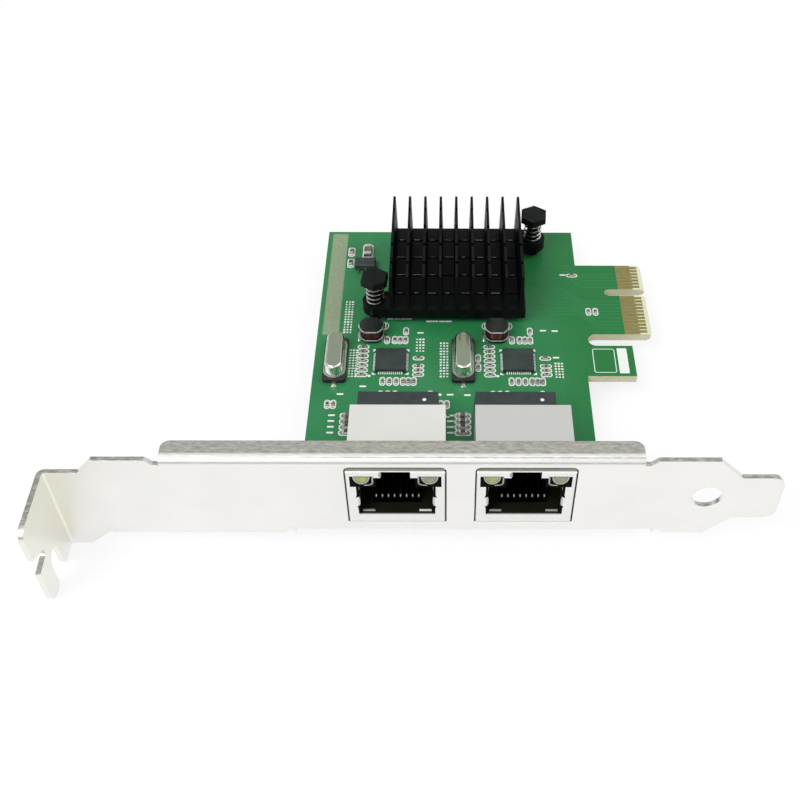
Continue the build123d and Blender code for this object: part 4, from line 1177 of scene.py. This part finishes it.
def dress_lights():
    """Light windows with a flat top and a round lower edge, slightly crowned, each with a pale crescent along
    its round edge as a painted highlight.
    """
    rims = Shape()
    for node, side, finish in (("left_lights", -1, "light_green"), ("right_lights", 1, "light_clear")):
        lenses = Shape()
        for centre in JACK_CENTRES:
            x = centre + side * LIGHT_SHIFT
            levels = []
            for inset, depth in ((0.3, -0.06), (0.1, -0.03), (0.0, 0.1), (0.0, 5.0)):
                levels.append((half_disc(x, LIGHT_TOP - 0.01, 2.36 - 2 * inset, 1.6 - inset), depth))
            lenses.loft(levels, upright=False)
            # Painted highlight: a pale crescent along each lens's round lower edge.
            rims.prism(crescent(x, LIGHT_TOP, 2.78, 1.84, 0.26), -0.07, 0.4, upright=False)
        make_piece(f"{node}_lenses", lenses, finish, replaces=node)
    make_piece("light_rim_highlights", rims, "light_rim_highlight", bevel=0.04)


def jack_outline(centre, side, outline):
    """An outline of the list above on one side of a jack's middle."""
    return [(centre + side * out, BOARD_TOP + up) for out, up in outline]


def dress_jacks():
    """Near-black plates of painted shade round the lights, in the shield's notches and in the side gaps; grey
    lips, side springs and floor tabs, one tab painted lighter and the others darker as painted light and
    shade; and a painted highlight strip along each shield's top edge, for each jack.
    """
    shade_plates = Shape()
    lips = Shape()
    springs = Shape()
    rims = Shape()
    shaded_tabs = Shape()
    highlighted_tabs = Shape()
    for centre in JACK_CENTRES:
        for side in (-1, 1):
            # Painted shade: near-black plates over the window pockets and the shield's notches.
            for outline in SHADE_PLATE_OUTLINES:
                shade_plates.prism(jack_outline(centre, side, outline), -0.02, 0.3, upright=False)
            lips.stroke(jack_outline(centre, side, LIP_LINE), 0.26, -0.05, 0.6, upright=False)
            springs.prism(jack_outline(centre, side, SIDE_SPRING), -0.02, 1.8, upright=False)
            # Painted light and shade: one floor tab is painted lighter and the others darker, though all are
            # the same part.
            tabs = highlighted_tabs if side == 1 and centre == JACK_CENTRES[0] else shaded_tabs
            for shape, across, depth, heights in (
                (tabs, (3.68, 5.75), (0.5, 0.85), (2.56, 2.78)),
                # Painted shade: near-black strips filling the side gaps between each shield and the bracket.
                (shade_plates, (8.04, 8.23), (0.3, 0.8), (0.6, 13.5)),
                (springs, (6.0, 6.2), (0.35, 1.2), (8.3, 9.5)),
            ):
                low, high = heights
                shape.block(*mirrored(centre, side, *across), *depth, BOARD_TOP + low, BOARD_TOP + high)
        # Painted highlight: a near-white strip along the shield's top front edge.
        rims.prism(jack_outline(centre, 1, TOP_EDGE), -0.015, 0.1, upright=False)
        lips.prism(jack_outline(centre, 1, LATCH_LIP), -0.02, 0.3, upright=False)
    make_piece("painted_shade_plates", shade_plates, "carrier_black", smooth=False)
    make_piece("light_lips", lips, "window_grey", bevel=0.05)
    make_piece("shield_top_highlights", rims, "rim_highlight", bevel=0.03)
    make_piece("side_springs", springs, "solder", bevel=0.05)
    make_piece("shaded_floor_tabs", shaded_tabs, "window_grey", bevel=0.05)
    make_piece("highlighted_floor_tab", highlighted_tabs, "tab_bright", bevel=0.05)


# Stage, light and camera


def make_floor():
    """White floor that glows for the camera and in reflections, and is matt for the light."""
    half = 1.2
    low = cad_box[0][2] - 0.0001
    glow_share = 0.82
    corners = [(-half, -half, low), (half, -half, low), (half, half, low), (-half, half, low)]
    mesh = bpy.data.meshes.new("floor")
    mesh.from_pydata(corners, [], [(0, 1, 2, 3)])
    floor = bpy.data.objects.new("floor", mesh)
    bpy.context.scene.collection.objects.link(floor)
    finish = bpy.data.materials.new("floor")
    finish.use_nodes = True
    finish.node_tree.nodes.clear()
    matt = add_node(finish, "ShaderNodeBsdfDiffuse")
    matt.inputs["Color"].default_value = (0.9, 0.9, 0.9, 1)
    glow = add_node(finish, "ShaderNodeEmission")
    glow.inputs["Strength"].default_value = 1.0
    mix = add_node(finish, "ShaderNodeMixShader")
    path = add_node(finish, "ShaderNodeLightPath")
    output = add_node(finish, "ShaderNodeOutputMaterial")
    seen = compute(finish, "MAXIMUM", path.outputs["Is Camera Ray"], path.outputs["Is Glossy Ray"])
    seen = compute(finish, "MAXIMUM", seen, path.outputs["Is Transmission Ray"])
    link(finish, both(finish, seen, glow_share), mix.inputs["Fac"])
    link(finish, matt.outputs["BSDF"], mix.inputs[1])
    link(finish, glow.outputs["Emission"], mix.inputs[2])
    link(finish, mix.outputs["Shader"], output.inputs["Surface"])
    mesh.materials.append(finish)


def make_world():
    """Studio, brightest in front and with a dark gap above the horizon. The camera sees plain white."""
    gap_height = 0.1
    world = bpy.data.worlds.new("studio")
    bpy.context.scene.world = world
    world.use_nodes = True
    world.node_tree.nodes.clear()
    front = spread(world, coordinate(world, "Y", "Generated"), 0.92, 0.64, -0.7, -0.1)
    above = compute(world, "SUBTRACT", coordinate(world, "Z", "Generated"), gap_height)
    gap = spread(world, compute(world, "ABSOLUTE", above), 0.0, 1.0, 0.08, 0.13)
    camera = add_node(world, "ShaderNodeLightPath").outputs["Is Camera Ray"]
    unseen = both(world, both(world, front, gap), compute(world, "SUBTRACT", 1.0, camera))
    background = add_node(world, "ShaderNodeBackground")
    background.inputs["Color"].default_value = (1, 1, 1, 1)
    link(world, compute(world, "ADD", unseen, camera), background.inputs["Strength"])
    output = add_node(world, "ShaderNodeOutputWorld")
    link(world, background.outputs["Background"], output.inputs["Surface"])


def make_lamp(name, spot, power):
    lamp = bpy.data.lights.new(name, "AREA")
    lamp.shape = "RECTANGLE"
    lamp.size = LAMP_SIZE
    lamp.size_y = LAMP_SIZE
    lamp.energy = power
    obj = bpy.data.objects.new(name, lamp)
    bpy.context.scene.collection.objects.link(obj)
    obj.location = spot
    obj.rotation_euler = (Vector(LAMP_AIM) - Vector(spot)).to_track_quat("-Z", "Y").to_euler()


def make_camera():
    lens = bpy.data.cameras.new("camera")
    camera = bpy.data.objects.new("camera", lens)
    bpy.context.scene.collection.objects.link(camera)
    lens.sensor_width = SENSOR_WIDTH
    lens.lens = SENSOR_WIDTH * FOCAL_PIXELS / FRAME_PIXELS
    lens.shift_x = 0.5 - PRINCIPAL_POINT[0] / FRAME_PIXELS
    lens.shift_y = PRINCIPAL_POINT[1] / FRAME_PIXELS - 0.5
    lens.clip_start = 0.01
    lens.clip_end = 10
    ahead = Vector((
        math.sin(CAMERA_YAW) * math.cos(CAMERA_PITCH),
        math.cos(CAMERA_YAW) * math.cos(CAMERA_PITCH),
        -math.sin(CAMERA_PITCH),
    ))
    level = Vector((math.cos(CAMERA_YAW), -math.sin(CAMERA_YAW), 0))
    down = ahead.cross(level)
    right = math.cos(CAMERA_ROLL) * level + math.sin(CAMERA_ROLL) * down
    below = math.cos(CAMERA_ROLL) * down - math.sin(CAMERA_ROLL) * level
    turn = Matrix((right, -below, -ahead)).transposed().to_4x4()
    camera.matrix_world = Matrix.Translation(place(*CAMERA_PLACE)) @ turn
    bpy.context.scene.camera = camera


dress_cad()
dress_chip_parts()
dress_lan_chips()
dress_transformers()
dress_crystals()
dress_inductors()
dress_springs()
dress_heatsink()
dress_print()
dress_lines()
dress_vias()
dress_solder()
dress_lights()
dress_jacks()
make_floor()
make_world()
for lamp_name, lamp_spot, lamp_power in LAMPS:
    make_lamp(lamp_name, lamp_spot, lamp_power)
make_camera()
bpy.context.scene.view_settings.view_transform = "Standard"
